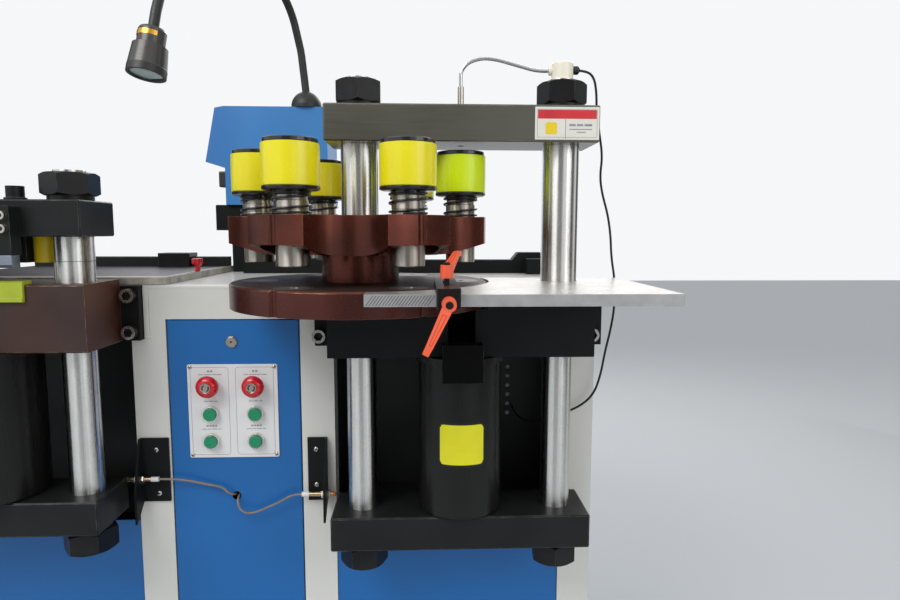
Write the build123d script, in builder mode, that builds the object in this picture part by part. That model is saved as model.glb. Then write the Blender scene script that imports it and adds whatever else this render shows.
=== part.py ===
from build123d import *
import math
import os

os.makedirs("parts", exist_ok=True)

# The machine stands on the floor at Z = 0 and its front faces -Y.
# The origin is on the floor, under the middle of the cabinet.

# Cabinet
cabinet_width = 1286.0
cabinet_depth = 600.0
table_height = 950.0
foot_height = 40.0
top_drop = 13.0
top_thickness = 8.0
front_thickness = 40.0
post_width = 60.0
door_post_left_x = -188.0
door_post_right_x = 108.5
kick_height = 50.0
side_rail = 40.0
tray_thickness = 4.0
panel_thickness = 3.0
panel_recess = 2.0
panel_gap = 0.5
bay_sill_drop = 446.0
bay_head_drop = 70.0
liner_depth = 130.0
liner_wall = 3.0
anchor_hole = 14.0
anchor_inset_x = 30.0
anchor_reach_y = 20.0
foot_pad = 10.0

# Presses
column_standoff = 80.0
plate_depth = 110.0
plate_height = 57.0
plate_edge = 2.0
rod_diameter = 60.0
thread_diameter = 45.0
nut_flats = 70.0
nut_height = 36.0
washer_diameter = 68.0
washer_height = 8.0
thread_proud = 4.0
rod_shoulder_gap = 6.0
fit_gap = 0.3
thread_gap = 0.1
flange_thickness = 18.0
flange_screw = 16.0
flange_screw_hole = 17.0

# Punching station
punch_x = 392.0
punch_spacing = 330.0
punch_plate_width = 430.0
punch_rod_waist = 50.0
punch_beam_rise = 220.0
punch_bed_drop = 121.0
punch_base_drop = 388.0
punch_flange_left = 39.0
punch_flange_right = 43.0
punch_flange_top = 52.0
punch_screw_left = 30.0
punch_screw_right = 24.0
punch_screw_drop = 102.0
punch_cylinder_diameter = 140.0
punch_nut_turns = ((33, 5), (-12, 25))
yoke_stroke = 36.0
slug_slot_rise = 20.0
slug_slot_reach = 12.0

# Turret
wheel_radius = 206.0
wheel_top_rise = 104.0
wheel_bottom_rise = 46.0
wheel_rim_rise = 62.0
scallop_radius = 58.0
notch_radius = 7.0
spot_face_diameter = 88.0
scallop_offset = 4.0
notch_offset = 2.0
cone_land = 8.0
cone_overrun = 6.0
hub_diameter = 126.0
die_wheel_radius = 208.0
die_wheel_chamfer = 2.5
die_wheel_thickness = 38.0
station_count = 6
die_diameter = 58.0
die_plate_height = 5.0
die_relief = 4.0
die_clearance = 0.4
well_gap = 6.0
thrust_gap = 0.3
thrust_ring_diameter = 130.0
thrust_ring_height = 4.0

# Punches
sleeve_diameter = 48.0
sleeve_bottom_rise = 31.0
sleeve_ring_diameter = 50.0
head_bottom_rise = 138.0
head_top_rise = 210.0
head_diameter = 82.0
disc_height = 6.0
cap_height = 7.0
punch_rod_diameter = 30.0
punch_tip_sizes = [13.0, 10.5, 8.5, 6.6, 17.0, 21.0]
tip_recess = 3.0
pad_bulge = 0.8
punch_tip_length = 14.0
punch_tip_cone = 6.0
pad_inset = 1.0
cap_inset = 2.0
cap_chamfer = 3.0
sleeve_chamfer = 1.0
spring_wire = 3.2
spring_turns = 2.25
spring_gap = 0.3

# Work table and guide
work_table_thickness = 16.0
work_table_left = -138.0
work_table_right = 282.0
work_table_front = 244.0
work_table_back = 60.0
table_wheel_gap = 4.0
guide_x = -29.0
guide_width = 31.0
guide_length = 197.0
guide_height = 9.0
guide_front_gap = 0.3
guide_block_depth = 20.0
guide_block_drop = 17.0
guide_travel = 60.0
lever_stud = 8.0
lever_hub_diameter = 19.0
lever_hub_height = 18.0
top_lever_length = 50.0
front_lever_length = 66.0
lever_rise = 22.0
lever_arm = 7.0
lever_socket_depth = 16.0
top_lever_inset = 51.0
top_lever_turn = 22.0
front_lever_turn = 27.0
front_lever_drop = 9.0

# Slug chute
slug_slot_width = 44.0
chute_width = 64.0
chute_depth = 36.0
chute_drop = 155.0
chute_lip_drop = 95.0
chute_sheet = 2.0

# Shearing station
shear_x = -386.0
shear_spacing = 300.0
shear_plate_width = 380.0
shear_rod_waist = 54.0
shear_nut_flats = 75.0
shear_nut_turns = ((20, 10), (33, 10))
shear_thread = 48.0
shear_beam_rise = 72.0
shear_bed_drop = 110.0
shear_bed_top_drop = 2.0
shear_base_drop = 354.0
shear_flange_margin = 31.0
shear_screw_offset = 17.0
shear_screw_drops = (30.0, 94.0)
shear_flange_top = 14.0
shear_cylinder_diameter = 160.0
blade_width = 200.0
blade_height = 19.0
blade_chamfer = 5.0
blade_thickness = 20.0
blade_bottom_rise = 25.0
holder_thickness = 25.0
holder_rise = 118.0
holder_screw = 13.0
holder_screw_head = 6.0
holder_screw_insets = (25.0, 10.0)
holder_screw_rises = (84.0, 104.0)
hold_down_left = 80.0
hold_down_right = 80.0
hold_down_front = 10.0
hold_down_back = 40.0
hold_down_gap = 30.0
spring_sleeve_diameter = 34.0
spring_sleeve_x = 98.0
spring_sleeve_y = 12.0
adjuster_x = 75.0
adjuster_y = 20.0
adjuster_diameter = 26.0
adjuster_height = 18.0
adjuster_washer = 32.0
adjuster_washer_height = 4.0
lower_blade_width = 200.0
lower_blade_height = 33.0
lower_blade_thickness = 25.0
lower_blade_proud = 5.0
lower_blade_chamfer = 3.0
lower_blade_rise = 4.0
shear_stroke = 30.0

# Cylinders
cylinder_flange_margin = 5.0
cylinder_flange_height = 10.0
cylinder_bore = 100.0
cylinder_crown = 40.0
gland_height = 30.0
ram_diameter = 80.0
piston_height = 40.0
ram_engagement = 150.0
cylinder_clearance = 1.0

# Feed table and its stops
feed_table_right = -121.0
feed_table_left = -575.0
feed_table_depth = 400.0
fence_setback = 13.0
fence_edge = 1.5
fence_height = 22.0
fence_thickness = 20.0
stop_x = -238.5
stop_width = 71.0
stop_depth = 30.0
stop_height = 27.0
stop_lip = 4.0
stop_corner = 2.0
stop_overhang = 6.0
fence_inset = 10.0
fence_end_gap = 2.0
feed_corner = 4.0
feed_edge = 0.8
knob_x = -127.0
knob_y = -130.0
knob_diameter = 22.0
knob_height = 26.0
knob_stem = 8.0
knob_seat = 11.0
knob_neck = 9.0
knob_grip = 11.0
knob_flute = 3.0
knob_flute_count = 8
knob_thread = 10.0
knob_flare = 6.0
knob_edge = 1.5

# Door and controls
door_gap = 2.0
door_sheet = 2.0
door_return = 20.0
door_edge = 2.0
door_top_drop = 77.0
door_bottom = 92.0
hinge_inset_x = 4.0
hinge_inset_y = 4.0
hinge_pin = 5.0
hinge_pin_length = 10.0
hinge_pin_gap = 0.1
hinge_bore_depth = 12.0
plate_x = -13.0
plate_width = 160.0
plate_height_panel = 172.0
plate_center_drop = 242.5
plate_thickness = 2.0
plate_corner = 3.0
control_spacing = 80.0
stop_drop = 194.0
start_drops = [246.5, 297.0]
stop_head_diameter = 40.0
start_cap_diameter = 23.0
bezel_diameter = 29.0
button_hole = 22.0
door_hole_margin = 1.0
lock_drop = 116.0
lock_diameter = 21.0
lock_face = 3.0
lock_body = 22.0
lock_step = 4.0
lock_slot = 9.0
lock_slot_width = 1.6
lock_tongue = 32.0
lock_tongue_width = 12.0
lock_tongue_thickness = 4.0
lock_slot_depth = 2.0
cable_hole_drop = 402.0
cable_hole = 16.0

# Sensors
sensor_body = 8.0
sensor_length = 60.0
sensor_nut = 15.0
sensor_nut_height = 6.0
sensor_nut_gap = 0.2
sensor_standoff = 10.0
bracket_thickness = 4.0
gusset_reach = 32.0
gusset_drop = 30.0
gusset_top = 6.0

# Rear of the machine
rear_y = 5.0
rear_rail_depth = 40.0
rear_rail_height = 30.0
bend_block_rise = 83.0
rear_rail_left = 300.0
rear_rail_inset = 44.0
rear_step_width = 67.0
rear_step_rise = 17.0
rear_step_run = 14.0
rear_block_inset = 28.0
rear_block_depth = 45.0
rear_block_rise = 4.0
housing_width = 232.0
housing_height = 220.0
housing_depth = 160.0
housing_x = -3.5
housing_rise = 141.0
housing_gap = 5.0
housing_edge = 2.0
wing_reach = 43.0
wing_top_reach = 19.0
wing_top_drop = 4.0
wing_drop = 124.0
wing_foot_drop = 136.0
rear_frame_left = 27.0
rear_frame_right = 20.0
rear_frame_inset = 10.0
rear_post_width = 28.0
rear_post_left = 8.0
rear_post_right = 60.0

# Lamp
lamp_neck_diameter = 17.0
lamp_head_diameter = 63.0
lamp_head_length = 81.0
lamp_head_neck = 13.0
lamp_collar_radius = 22.5
lamp_collar_length = 31.0
lamp_shade_radius = 28.0
lamp_ring_height = 12.5
lamp_lens_rim = 6.0
lamp_lens_recess = 3.0
lamp_base_radius = 34.0
lamp_base_height = 36.0
lamp_base_rim = 7.0
lamp_base_neck = 12.0
lamp_reach = 164.0
lamp_inset = 25.0
lamp_seat = 6.0
lamp_bends = [
    (-3.0, 0.0, 62.0), (-9.0, -4.0, 125.0), (-24.0, -22.0, 205.0), (-50.0, -80.0, 262.0),
    (-88.0, -168.0, 277.0), (-126.0, -252.0, 254.0), (-156.0, -326.0, 202.0), (-171.0, -372.0, 134.0),
    (-177.0, -390.0, 84.0), (-180.5, -395.0, 55.5)]
neck_radii = [90.0, 110.0, 110.0, 110.0, 130.0, 130.0, 110.0, 90.0, 60.0]

# Cables
cable_diameter = 4.0

front_y = -cabinet_depth / 2
back_y = cabinet_depth / 2
column_y = front_y - column_standoff
table_z = table_height
top_z = table_height - top_drop
side_x = cabinet_width / 2
plate_front_y = column_y - plate_depth / 2
plate_back_y = column_y + plate_depth / 2
turret_x = punch_x - punch_spacing / 2
pitch_radius = punch_spacing / 2


def block(x0, x1, y0, y1, z0, z1, mode=Mode.ADD):
    with Locations(((x0 + x1) / 2, (y0 + y1) / 2, (z0 + z1) / 2)):
        Box(x1 - x0, y1 - y0, z1 - z0, mode=mode)


def post(x, y, z0, z1, diameter, mode=Mode.ADD):
    with Locations((x, y, (z0 + z1) / 2)):
        Cylinder(diameter / 2, z1 - z0, mode=mode)


def across(x, y0, y1, z, diameter, mode=Mode.ADD):
    with Locations(Location((x, (y0 + y1) / 2, z), (90, 0, 0))):
        Cylinder(diameter / 2, y1 - y0, mode=mode)


# Cabinet: a welded front frame, a rear frame and the rails between them
shear_bay = (-side_x + post_width, door_post_left_x)
door_bay = (door_post_left_x + post_width, door_post_right_x)
punch_bay = (door_post_right_x + post_width, side_x - post_width)
bay_bottom = foot_height + kick_height
bay_sill = table_z - bay_sill_drop
bay_head = table_z - bay_head_drop
frame_top = top_z - top_thickness
door_head = table_z - door_top_drop + door_gap
door_left = door_bay[0] + door_gap
door_right = door_bay[1] - door_gap
door_top = table_z - door_top_drop
hinge_x = door_left + hinge_inset_x
hinge_y = front_y + hinge_inset_y
wheel_well_radius = die_wheel_radius + well_gap
wheel_well_z = table_z - die_wheel_thickness - thrust_ring_height


def rectangle_at(x0, x1, z0, z1, mode=Mode.SUBTRACT):
    with Locations(((x0 + x1) / 2, (z0 + z1) / 2)):
        Rectangle(x1 - x0, z1 - z0, mode=mode)


with BuildPart() as cabinet_frame:
    with BuildSketch(Plane.XZ.offset(-front_y)):
        rectangle_at(-side_x, side_x, foot_height, frame_top, Mode.ADD)
        rectangle_at(*shear_bay, bay_bottom, bay_head)
        rectangle_at(*door_bay, bay_bottom, door_head)
        rectangle_at(*punch_bay, bay_bottom, bay_head)
    extrude(amount=-front_thickness)
    with BuildSketch(Plane.XZ.offset(-back_y + front_thickness)):
        rectangle_at(-side_x, side_x, foot_height, frame_top, Mode.ADD)
        rectangle_at(-side_x + post_width, side_x - post_width, bay_bottom, frame_top - side_rail)
    extrude(amount=-front_thickness)
    for side in (-1, 1):
        inner = side * (side_x - side_rail)
        x0, x1 = sorted((inner, side * side_x))
        block(x0, x1, front_y, back_y, foot_height, bay_bottom)
        block(x0, x1, front_y, back_y, frame_top - side_rail, frame_top)
    block(-side_x, side_x, front_y, back_y, foot_height, foot_height + tray_thickness)
    post(turret_x, column_y, wheel_well_z, table_z, 2 * wheel_well_radius, Mode.SUBTRACT)
    pin_bore = hinge_pin + 2 * hinge_pin_gap
    post(hinge_x, hinge_y, door_head, door_head + hinge_bore_depth, pin_bore, Mode.SUBTRACT)
    post(hinge_x, hinge_y, bay_bottom - hinge_bore_depth, bay_bottom, pin_bore, Mode.SUBTRACT)
cabinet_frame.part.label = "cabinet_frame"
export_step(cabinet_frame.part, "parts/cabinet_frame.step")

with BuildPart() as cabinet_top:
    block(-side_x, side_x, front_y, back_y, frame_top, top_z)
    front_edge = cabinet_top.edges().filter_by(Axis.X).sort_by(Axis.Y)[0:2].sort_by(Axis.Z)[-1]
    fillet(front_edge, radius=top_thickness / 2)
    post(turret_x, column_y, frame_top, table_z, 2 * wheel_well_radius, Mode.SUBTRACT)
cabinet_top.part.label = "cabinet_top"
export_step(cabinet_top.part, "parts/cabinet_top.step")

# Blue sheet panels: two under the presses, one on each side and one at the rear
panel_y = front_y + panel_recess
side_panel_bottom = bay_bottom + panel_gap
side_panel_top = frame_top - side_rail - panel_gap
with BuildPart() as blue_panels:
    for bay in (shear_bay, punch_bay):
        block(bay[0] + panel_gap, bay[1] - panel_gap, panel_y, panel_y + panel_thickness,
              bay_bottom + panel_gap, bay_sill - panel_gap)
    for side in (-1, 1):
        outer = side * (side_x - panel_recess)
        x0, x1 = sorted((outer, outer - side * panel_thickness))
        block(x0, x1, front_y + front_thickness + panel_gap, back_y - front_thickness - panel_gap,
              side_panel_bottom, side_panel_top)
    block(-side_x + post_width + panel_gap, side_x - post_width - panel_gap,
          back_y - panel_recess - panel_thickness, back_y - panel_recess,
          side_panel_bottom, side_panel_top)
blue_panels.part.label = "blue_panels"
export_step(blue_panels.part, "parts/blue_panels.step")

# Black folded liners that close the bays behind the presses
liner_front = front_y + front_thickness
liner_hole = 9.0
liner_hole_pitch = 19.6
liner_hole_count = 6
liner_hole_x = punch_x + 114.0
liner_hole_top = bay_sill + 245.0
with BuildPart() as bay_liners:
    for bay in (shear_bay, punch_bay):
        block(bay[0] - liner_wall, bay[1] + liner_wall, liner_front, liner_front + liner_depth,
              bay_sill - liner_wall, bay_head + liner_wall)
        block(bay[0], bay[1], liner_front, liner_front + liner_depth - liner_wall,
              bay_sill, bay_head, Mode.SUBTRACT)
    for index in range(liner_hole_count):
        across(liner_hole_x, liner_front + liner_depth - 2 * liner_wall, liner_front + liner_depth,
               liner_hole_top - index * liner_hole_pitch, liner_hole, Mode.SUBTRACT)
bay_liners.part.label = "bay_liners"
export_step(bay_liners.part, "parts/bay_liners.step")

# Feet with anchor holes for the floor
anchor_x = side_x - anchor_inset_x
anchor_y = back_y + anchor_reach_y
foot_pad_length = 80.0
with BuildPart() as floor_feet:
    for side in (-1, 1):
        for end in (-1, 1):
            y0, y1 = sorted((end * (back_y - foot_pad_length / 2), end * (back_y + foot_pad_length / 2)))
            block(side * anchor_x - anchor_inset_x, side * anchor_x + anchor_inset_x, y0, y1, 0, foot_pad)
            y0, y1 = sorted((end * (back_y - foot_pad_length / 2), end * back_y))
            block(side * anchor_x - anchor_inset_x, side * anchor_x + anchor_inset_x, y0, y1,
                  foot_pad, foot_height)
            post(side * anchor_x, end * anchor_y, 0, foot_pad, anchor_hole, Mode.SUBTRACT)
floor_feet.part.label = "floor_feet"
export_step(floor_feet.part, "parts/floor_feet.step")


# One hexagon nut with turned-off corners, standing on the XY plane
def hexagon_nut_of(flats, thread):
    corner_radius = flats / 2 / math.cos(math.radians(30))
    with BuildPart() as nut:
        with BuildSketch():
            RegularPolygon(corner_radius, 6)
            Circle(thread / 2 + thread_gap, mode=Mode.SUBTRACT)
        extrude(amount=nut_height)
    turned = Cylinder(corner_radius, nut_height, align=(Align.CENTER, Align.CENTER, Align.MIN))
    turned = chamfer(turned.edges(), length=nut_height * 0.1, length2=nut_height * 0.17)
    return nut.part & turned


def press_nuts(centre_x, spacing, beam_top, base_bottom, turns, flats, thread):
    hexagon_nut = hexagon_nut_of(flats, thread)
    with BuildPart() as nuts:
        for side, turn_top, turn_bottom in ((-1, *turns[0]), (1, *turns[1])):
            x = centre_x + side * spacing / 2
            with Locations(Location((x, column_y, beam_top + washer_height), (0, 0, turn_top))):
                add(hexagon_nut)
            low = base_bottom - washer_height - nut_height
            with Locations(Location((x, column_y, low), (0, 0, turn_bottom))):
                add(hexagon_nut)
            for z in (beam_top, base_bottom - washer_height):
                with BuildSketch(Plane.XY.offset(z)):
                    with Locations((x, column_y)):
                        Circle(washer_diameter / 2)
                        Circle(thread / 2 + thread_gap, mode=Mode.SUBTRACT)
                extrude(amount=washer_height)
    return nuts


# One press column: thick where it runs in the bed, thinner below, threaded at both ends
def press_rods(centre_x, spacing, waist, beam_bottom, base_bottom, shoulder_z, thread):
    beam_top = beam_bottom + plate_height
    base_top = base_bottom + plate_height
    thread_end = washer_height + nut_height + thread_proud
    with BuildPart() as rods:
        for side in (-1, 1):
            x = centre_x + side * spacing / 2
            post(x, column_y, shoulder_z, beam_bottom, rod_diameter)
            post(x, column_y, base_top, shoulder_z, waist)
            post(x, column_y, beam_bottom, beam_top + thread_end, thread)
            post(x, column_y, base_bottom - thread_end, base_top, thread)
    return rods


def press_plate(centre_x, width, spacing, bottom, thread):
    with BuildPart() as plate:
        block(centre_x - width / 2, centre_x + width / 2, plate_front_y, plate_back_y,
              bottom, bottom + plate_height)
        chamfer(plate.edges(), length=plate_edge)
        for side in (-1, 1):
            post(centre_x + side * spacing / 2, column_y, bottom, bottom + plate_height,
                 thread + 2 * thread_gap, Mode.SUBTRACT)
    return plate


def press_cylinder(centre_x, diameter, top, bottom):
    with BuildPart() as cylinder:
        post(centre_x, column_y, bottom, top, diameter)
        chamfer(cylinder.edges().sort_by(Axis.Z)[0], length=plate_edge)
        post(centre_x, column_y, top - cylinder_flange_height, top, diameter + 2 * cylinder_flange_margin)
        post(centre_x, column_y, bottom + gland_height, top - cylinder_crown, cylinder_bore, Mode.SUBTRACT)
        post(centre_x, column_y, bottom, bottom + gland_height, ram_diameter + 2 * fit_gap, Mode.SUBTRACT)
    return cylinder


def add_ram(centre_x, base_top):
    post(centre_x, column_y, base_top, base_top + ram_engagement, ram_diameter)
    post(centre_x, column_y, base_top + ram_engagement - piston_height, base_top + ram_engagement,
         cylinder_bore - 2 * fit_gap)


# Punching press
punch_beam_z = table_z + punch_beam_rise
punch_bed_z = table_z - punch_bed_drop
punch_base_top = table_z - punch_base_drop
punch_base_z = punch_base_top - plate_height
right_column_x = punch_x + punch_spacing / 2
pointer_bore = 12.0
work_table_bottom = table_z - work_table_thickness
flange_y = front_y - flange_thickness

with BuildPart() as punch_bed:
    bed_left = punch_x - punch_plate_width / 2
    bed_right = punch_x + punch_plate_width / 2
    block(bed_left, bed_right, plate_front_y, flange_y, punch_bed_z, work_table_bottom)
    chamfer(punch_bed.edges().filter_by(Axis.X).sort_by(Axis.Y)[0:2], length=plate_edge)
    block(bed_left - punch_flange_left, bed_right + punch_flange_right, flange_y, front_y,
          punch_bed_z, table_z - punch_flange_top)
    post(turret_x, column_y, wheel_well_z, work_table_bottom, 2 * wheel_well_radius, Mode.SUBTRACT)
    post(turret_x, column_y, wheel_well_z, wheel_well_z + thrust_ring_height - thrust_gap,
         thrust_ring_diameter)
    for column_x in (turret_x, right_column_x):
        post(column_x, column_y, punch_bed_z, work_table_bottom, rod_diameter + 2 * fit_gap, Mode.SUBTRACT)
    slot_floor = punch_bed_z + slug_slot_rise
    post(punch_x, column_y, slot_floor, work_table_bottom, slug_slot_width, Mode.SUBTRACT)
    block(punch_x - slug_slot_width / 2, punch_x + slug_slot_width / 2, plate_front_y, column_y,
          slot_floor, work_table_bottom, Mode.SUBTRACT)
    block(punch_x - slug_slot_width / 2, punch_x + slug_slot_width / 2, plate_front_y,
          plate_front_y + slug_slot_reach, punch_bed_z, work_table_bottom, Mode.SUBTRACT)
    punch_screw_x = (bed_left - punch_screw_left, bed_right + punch_screw_right)
    for screw_x in punch_screw_x:
        across(screw_x, flange_y, front_y, table_z - punch_screw_drop, flange_screw_hole, Mode.SUBTRACT)
punch_bed.part.label = "punch_bed"
export_step(punch_bed.part, "parts/punch_bed.step")

punch_cylinder = press_cylinder(punch_x, punch_cylinder_diameter, punch_bed_z,
                                punch_base_top + cylinder_clearance)

beam_blank = press_plate(punch_x, punch_plate_width, punch_spacing, punch_beam_z, thread_diameter)
with BuildPart() as top_beam:
    add(beam_blank.part)
    post(punch_x, column_y, punch_beam_z, punch_beam_z + plate_height, pointer_bore, Mode.SUBTRACT)
top_beam.part.label = "top_beam"
export_step(top_beam.part, "parts/top_beam.step")

base_blank = press_plate(punch_x, punch_plate_width, punch_spacing, punch_base_z, thread_diameter)
with BuildPart() as yoke_base:
    add(base_blank.part)
    add_ram(punch_x, punch_base_top)
yoke_base.part.label = "yoke_base"
export_step(yoke_base.part, "parts/yoke_base.step")

tie_rods = press_rods(punch_x, punch_spacing, punch_rod_waist, punch_beam_z, punch_base_z,
                      punch_bed_z + yoke_stroke + rod_shoulder_gap, thread_diameter)
tie_rods.part.label = "tie_rods"
export_step(tie_rods.part, "parts/tie_rods.step")

yoke_nuts = press_nuts(punch_x, punch_spacing, punch_beam_z + plate_height, punch_base_z,
                       punch_nut_turns, nut_flats, thread_diameter)
yoke_nuts.part.label = "yoke_nuts"
export_step(yoke_nuts.part, "parts/yoke_nuts.step")

# Pointer light: a cap on the right nut and a thin bent tube to the middle of the beam
pointer_cap_diameter = 36.0
pointer_cap_height = 28.0
pointer_cap_edge = 3.0
pointer_cap_z = punch_beam_z + plate_height + washer_height + nut_height + thread_proud
pointer_tube_diameter = 10.0
pointer_neck_diameter = 6.0
pointer_tube_top = table_z + 314.0
pointer_overlap = 2.0
pointer_cap_left = right_column_x - pointer_cap_diameter / 2
pointer_bends = [(122.0, 340.5), (58.0, 357.5), (34.0, 359.5), (12.0, 352.5), (0.0, 339.0)]
pointer_radii = [100.0, 120.0, 55.0, 30.0, 22.0]
pointer_route = [(pointer_cap_left + pointer_overlap, column_y, table_z + pointer_bends[0][1])]
pointer_route += [(punch_x + reach, column_y, table_z + rise) for reach, rise in pointer_bends]
pointer_route += [(punch_x, column_y, pointer_tube_top - pointer_overlap)]
with BuildPart() as pointer_light:
    post(right_column_x, column_y, pointer_cap_z, pointer_cap_z + pointer_cap_height, pointer_cap_diameter)
    fillet(pointer_light.edges().sort_by(Axis.Z)[-1], radius=pointer_cap_edge)
    with BuildLine() as pointer_path:
        FilletPolyline(*pointer_route, radius=pointer_radii)
    with BuildSketch(Plane(pointer_path.line @ 0, z_dir=pointer_path.line % 0)):
        Circle(pointer_neck_diameter / 2)
    sweep(path=pointer_path.line)
    post(punch_x, column_y, punch_beam_z + plate_height / 2, pointer_tube_top, pointer_tube_diameter)
pointer_light.part.label = "pointer_light"
export_step(pointer_light.part, "parts/pointer_light.step")

# Turret: a scalloped punch wheel on a hub, over a plain die wheel
column_bore = rod_diameter + 2 * fit_gap
half_pitch = 180.0 / station_count
station_angles = [index * 2 * half_pitch for index in range(station_count)]
wheel_top = table_z + wheel_top_rise
wheel_bottom = table_z + wheel_bottom_rise
wheel_rim = table_z + wheel_rim_rise
cone_inner = pitch_radius - cone_land
cone_outer = wheel_radius + cone_overrun
with BuildPart() as punch_wheel:
    with BuildSketch(Plane.XY.offset(wheel_bottom)):
        with Locations((turret_x, column_y)):
            Circle(wheel_radius)
            with PolarLocations(wheel_radius + scallop_offset, station_count, start_angle=half_pitch):
                Circle(scallop_radius, mode=Mode.SUBTRACT)
            with PolarLocations(wheel_radius + notch_offset, station_count):
                Circle(notch_radius, mode=Mode.SUBTRACT)
    extrude(amount=wheel_top - wheel_bottom)
    with BuildSketch(Plane((turret_x, column_y, 0), x_dir=(1, 0, 0), z_dir=(0, -1, 0))):
        with BuildLine():
            Polyline((cone_inner, wheel_bottom), (cone_outer, wheel_bottom),
                     (cone_outer, wheel_rim + 2.0), close=True)
        make_face()
    revolve(axis=Axis((turret_x, column_y, 0), (0, 0, 1)), mode=Mode.SUBTRACT)
    with BuildSketch(Plane.XY.offset(wheel_bottom)):
        with Locations((turret_x, column_y)):
            with PolarLocations(pitch_radius, station_count):
                Circle(spot_face_diameter / 2)
    extrude(amount=wheel_rim - wheel_bottom, mode=Mode.SUBTRACT)
    post(turret_x, column_y, table_z, wheel_top, hub_diameter)
    with BuildSketch(Plane.XY.offset(table_z)):
        with Locations((turret_x, column_y)):
            Circle(column_bore / 2)
            with PolarLocations(pitch_radius, station_count):
                Circle(sleeve_diameter / 2 + fit_gap)
    extrude(amount=wheel_top_rise, mode=Mode.SUBTRACT)
punch_wheel.part.label = "punch_wheel"
export_step(punch_wheel.part, "parts/punch_wheel.step")

with BuildPart() as die_wheel:
    with BuildSketch(Plane.XY.offset(table_z - die_wheel_thickness)):
        with Locations((turret_x, column_y)):
            Circle(die_wheel_radius)
            Circle(column_bore / 2, mode=Mode.SUBTRACT)
            with PolarLocations(die_wheel_radius + notch_offset, station_count):
                Circle(notch_radius, mode=Mode.SUBTRACT)
            with PolarLocations(pitch_radius, station_count):
                Circle(die_diameter / 2, mode=Mode.SUBTRACT)
    extrude(amount=die_wheel_thickness)
    rim_edges = die_wheel.edges().group_by(Axis.Z)[-1]
    chamfer(rim_edges.sort_by(SortBy.LENGTH)[-station_count:], length=die_wheel_chamfer)
die_wheel.part.label = "die_wheel"
export_step(die_wheel.part, "parts/die_wheel.step")

with BuildPart() as dies:
    for angle, tip in zip(station_angles, punch_tip_sizes):
        with BuildSketch(Plane.XY.offset(table_z - die_wheel_thickness)):
            with Locations((turret_x, column_y)):
                with PolarLocations(pitch_radius, 1, start_angle=angle):
                    Circle(die_diameter / 2)
                    Circle(tip / 2 + die_relief, mode=Mode.SUBTRACT)
        extrude(amount=die_wheel_thickness - die_plate_height)
        with BuildSketch(Plane.XY.offset(table_z - die_plate_height)):
            with Locations((turret_x, column_y)):
                with PolarLocations(pitch_radius, 1, start_angle=angle):
                    Circle(die_diameter / 2)
                    Circle(tip / 2 + die_clearance, mode=Mode.SUBTRACT)
        extrude(amount=die_plate_height)
dies.part.label = "dies"
export_step(dies.part, "parts/dies.step")


# One punch: the guide sleeve with its disc, the urethane pad, and the rod with its cap, turned about
# the station's own axis
def punch_at(angle, tip):
    rod = punch_rod_diameter / 2
    sleeve = sleeve_diameter / 2
    ring = sleeve_ring_diameter / 2
    head = head_diameter / 2
    pad = head - pad_inset
    cap = head - cap_inset
    pad_bottom = head_bottom_rise + disc_height
    pad_top = head_top_rise - cap_height
    pad_middle = (pad_bottom + pad_top) / 2
    tip_z = sleeve_bottom_rise + tip_recess
    tip_end = tip_z + punch_tip_length
    ring_z = head_bottom_rise - disc_height
    x = turret_x + pitch_radius * math.cos(math.radians(angle))
    y = column_y + pitch_radius * math.sin(math.radians(angle))
    side = Plane((x, y, table_z), x_dir=(1, 0, 0), z_dir=(0, -1, 0))
    axis = Axis((x, y, table_z), (0, 0, 1))
    with BuildPart() as punch:
        with BuildSketch(side):
            with BuildLine():
                Polyline((rod, sleeve_bottom_rise), (sleeve - sleeve_chamfer, sleeve_bottom_rise),
                         (sleeve, sleeve_bottom_rise + sleeve_chamfer), (sleeve, ring_z),
                         (ring, ring_z), (ring, head_bottom_rise),
                         (head - sleeve_chamfer, head_bottom_rise),
                         (head, head_bottom_rise + sleeve_chamfer), (head, pad_bottom),
                         (rod, pad_bottom), close=True)
            make_face()
        revolve(axis=axis)
        with BuildSketch(side):
            with BuildLine():
                Line((rod, pad_bottom), (pad, pad_bottom))
                ThreePointArc((pad, pad_bottom), (pad + pad_bulge, pad_middle), (pad, pad_top))
                Line((pad, pad_top), (rod, pad_top))
                Line((rod, pad_top), (rod, pad_bottom))
            make_face()
        revolve(axis=axis)
        with BuildSketch(side):
            with BuildLine():
                Polyline((0, tip_z), (tip / 2, tip_z), (tip / 2, tip_end), (rod, tip_end + punch_tip_cone),
                         (rod, pad_top), (cap, pad_top), (cap, head_top_rise - cap_inset),
                         (cap - cap_chamfer, head_top_rise), (0, head_top_rise), close=True)
            make_face()
        revolve(axis=axis)
    return punch


for number, (angle, tip) in enumerate(zip(station_angles, punch_tip_sizes), start=1):
    punch = punch_at(angle, tip)
    punch.part.label = f"punch_{number}"
    export_step(punch.part, f"parts/punch_{number}.step")

spring_radius = sleeve_ring_diameter / 2 + spring_gap + spring_wire / 2
spring_rise = head_bottom_rise - wheel_top_rise - spring_wire - 2 * spring_gap
with BuildPart() as punch_springs:
    for angle in station_angles:
        x = turret_x + pitch_radius * math.cos(math.radians(angle))
        y = column_y + pitch_radius * math.sin(math.radians(angle))
        with BuildLine(Plane((x, y, wheel_top + spring_gap + spring_wire / 2))) as coil:
            Helix(pitch=spring_rise / spring_turns, height=spring_rise, radius=spring_radius)
        with BuildSketch(Plane(coil.line @ 0, x_dir=(0, 0, 1), z_dir=coil.line % 0)):
            Rectangle(spring_wire, spring_wire)
        sweep(path=coil.line, is_frenet=True)
punch_springs.part.label = "punch_springs"
export_step(punch_springs.part, "parts/punch_springs.step")

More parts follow.
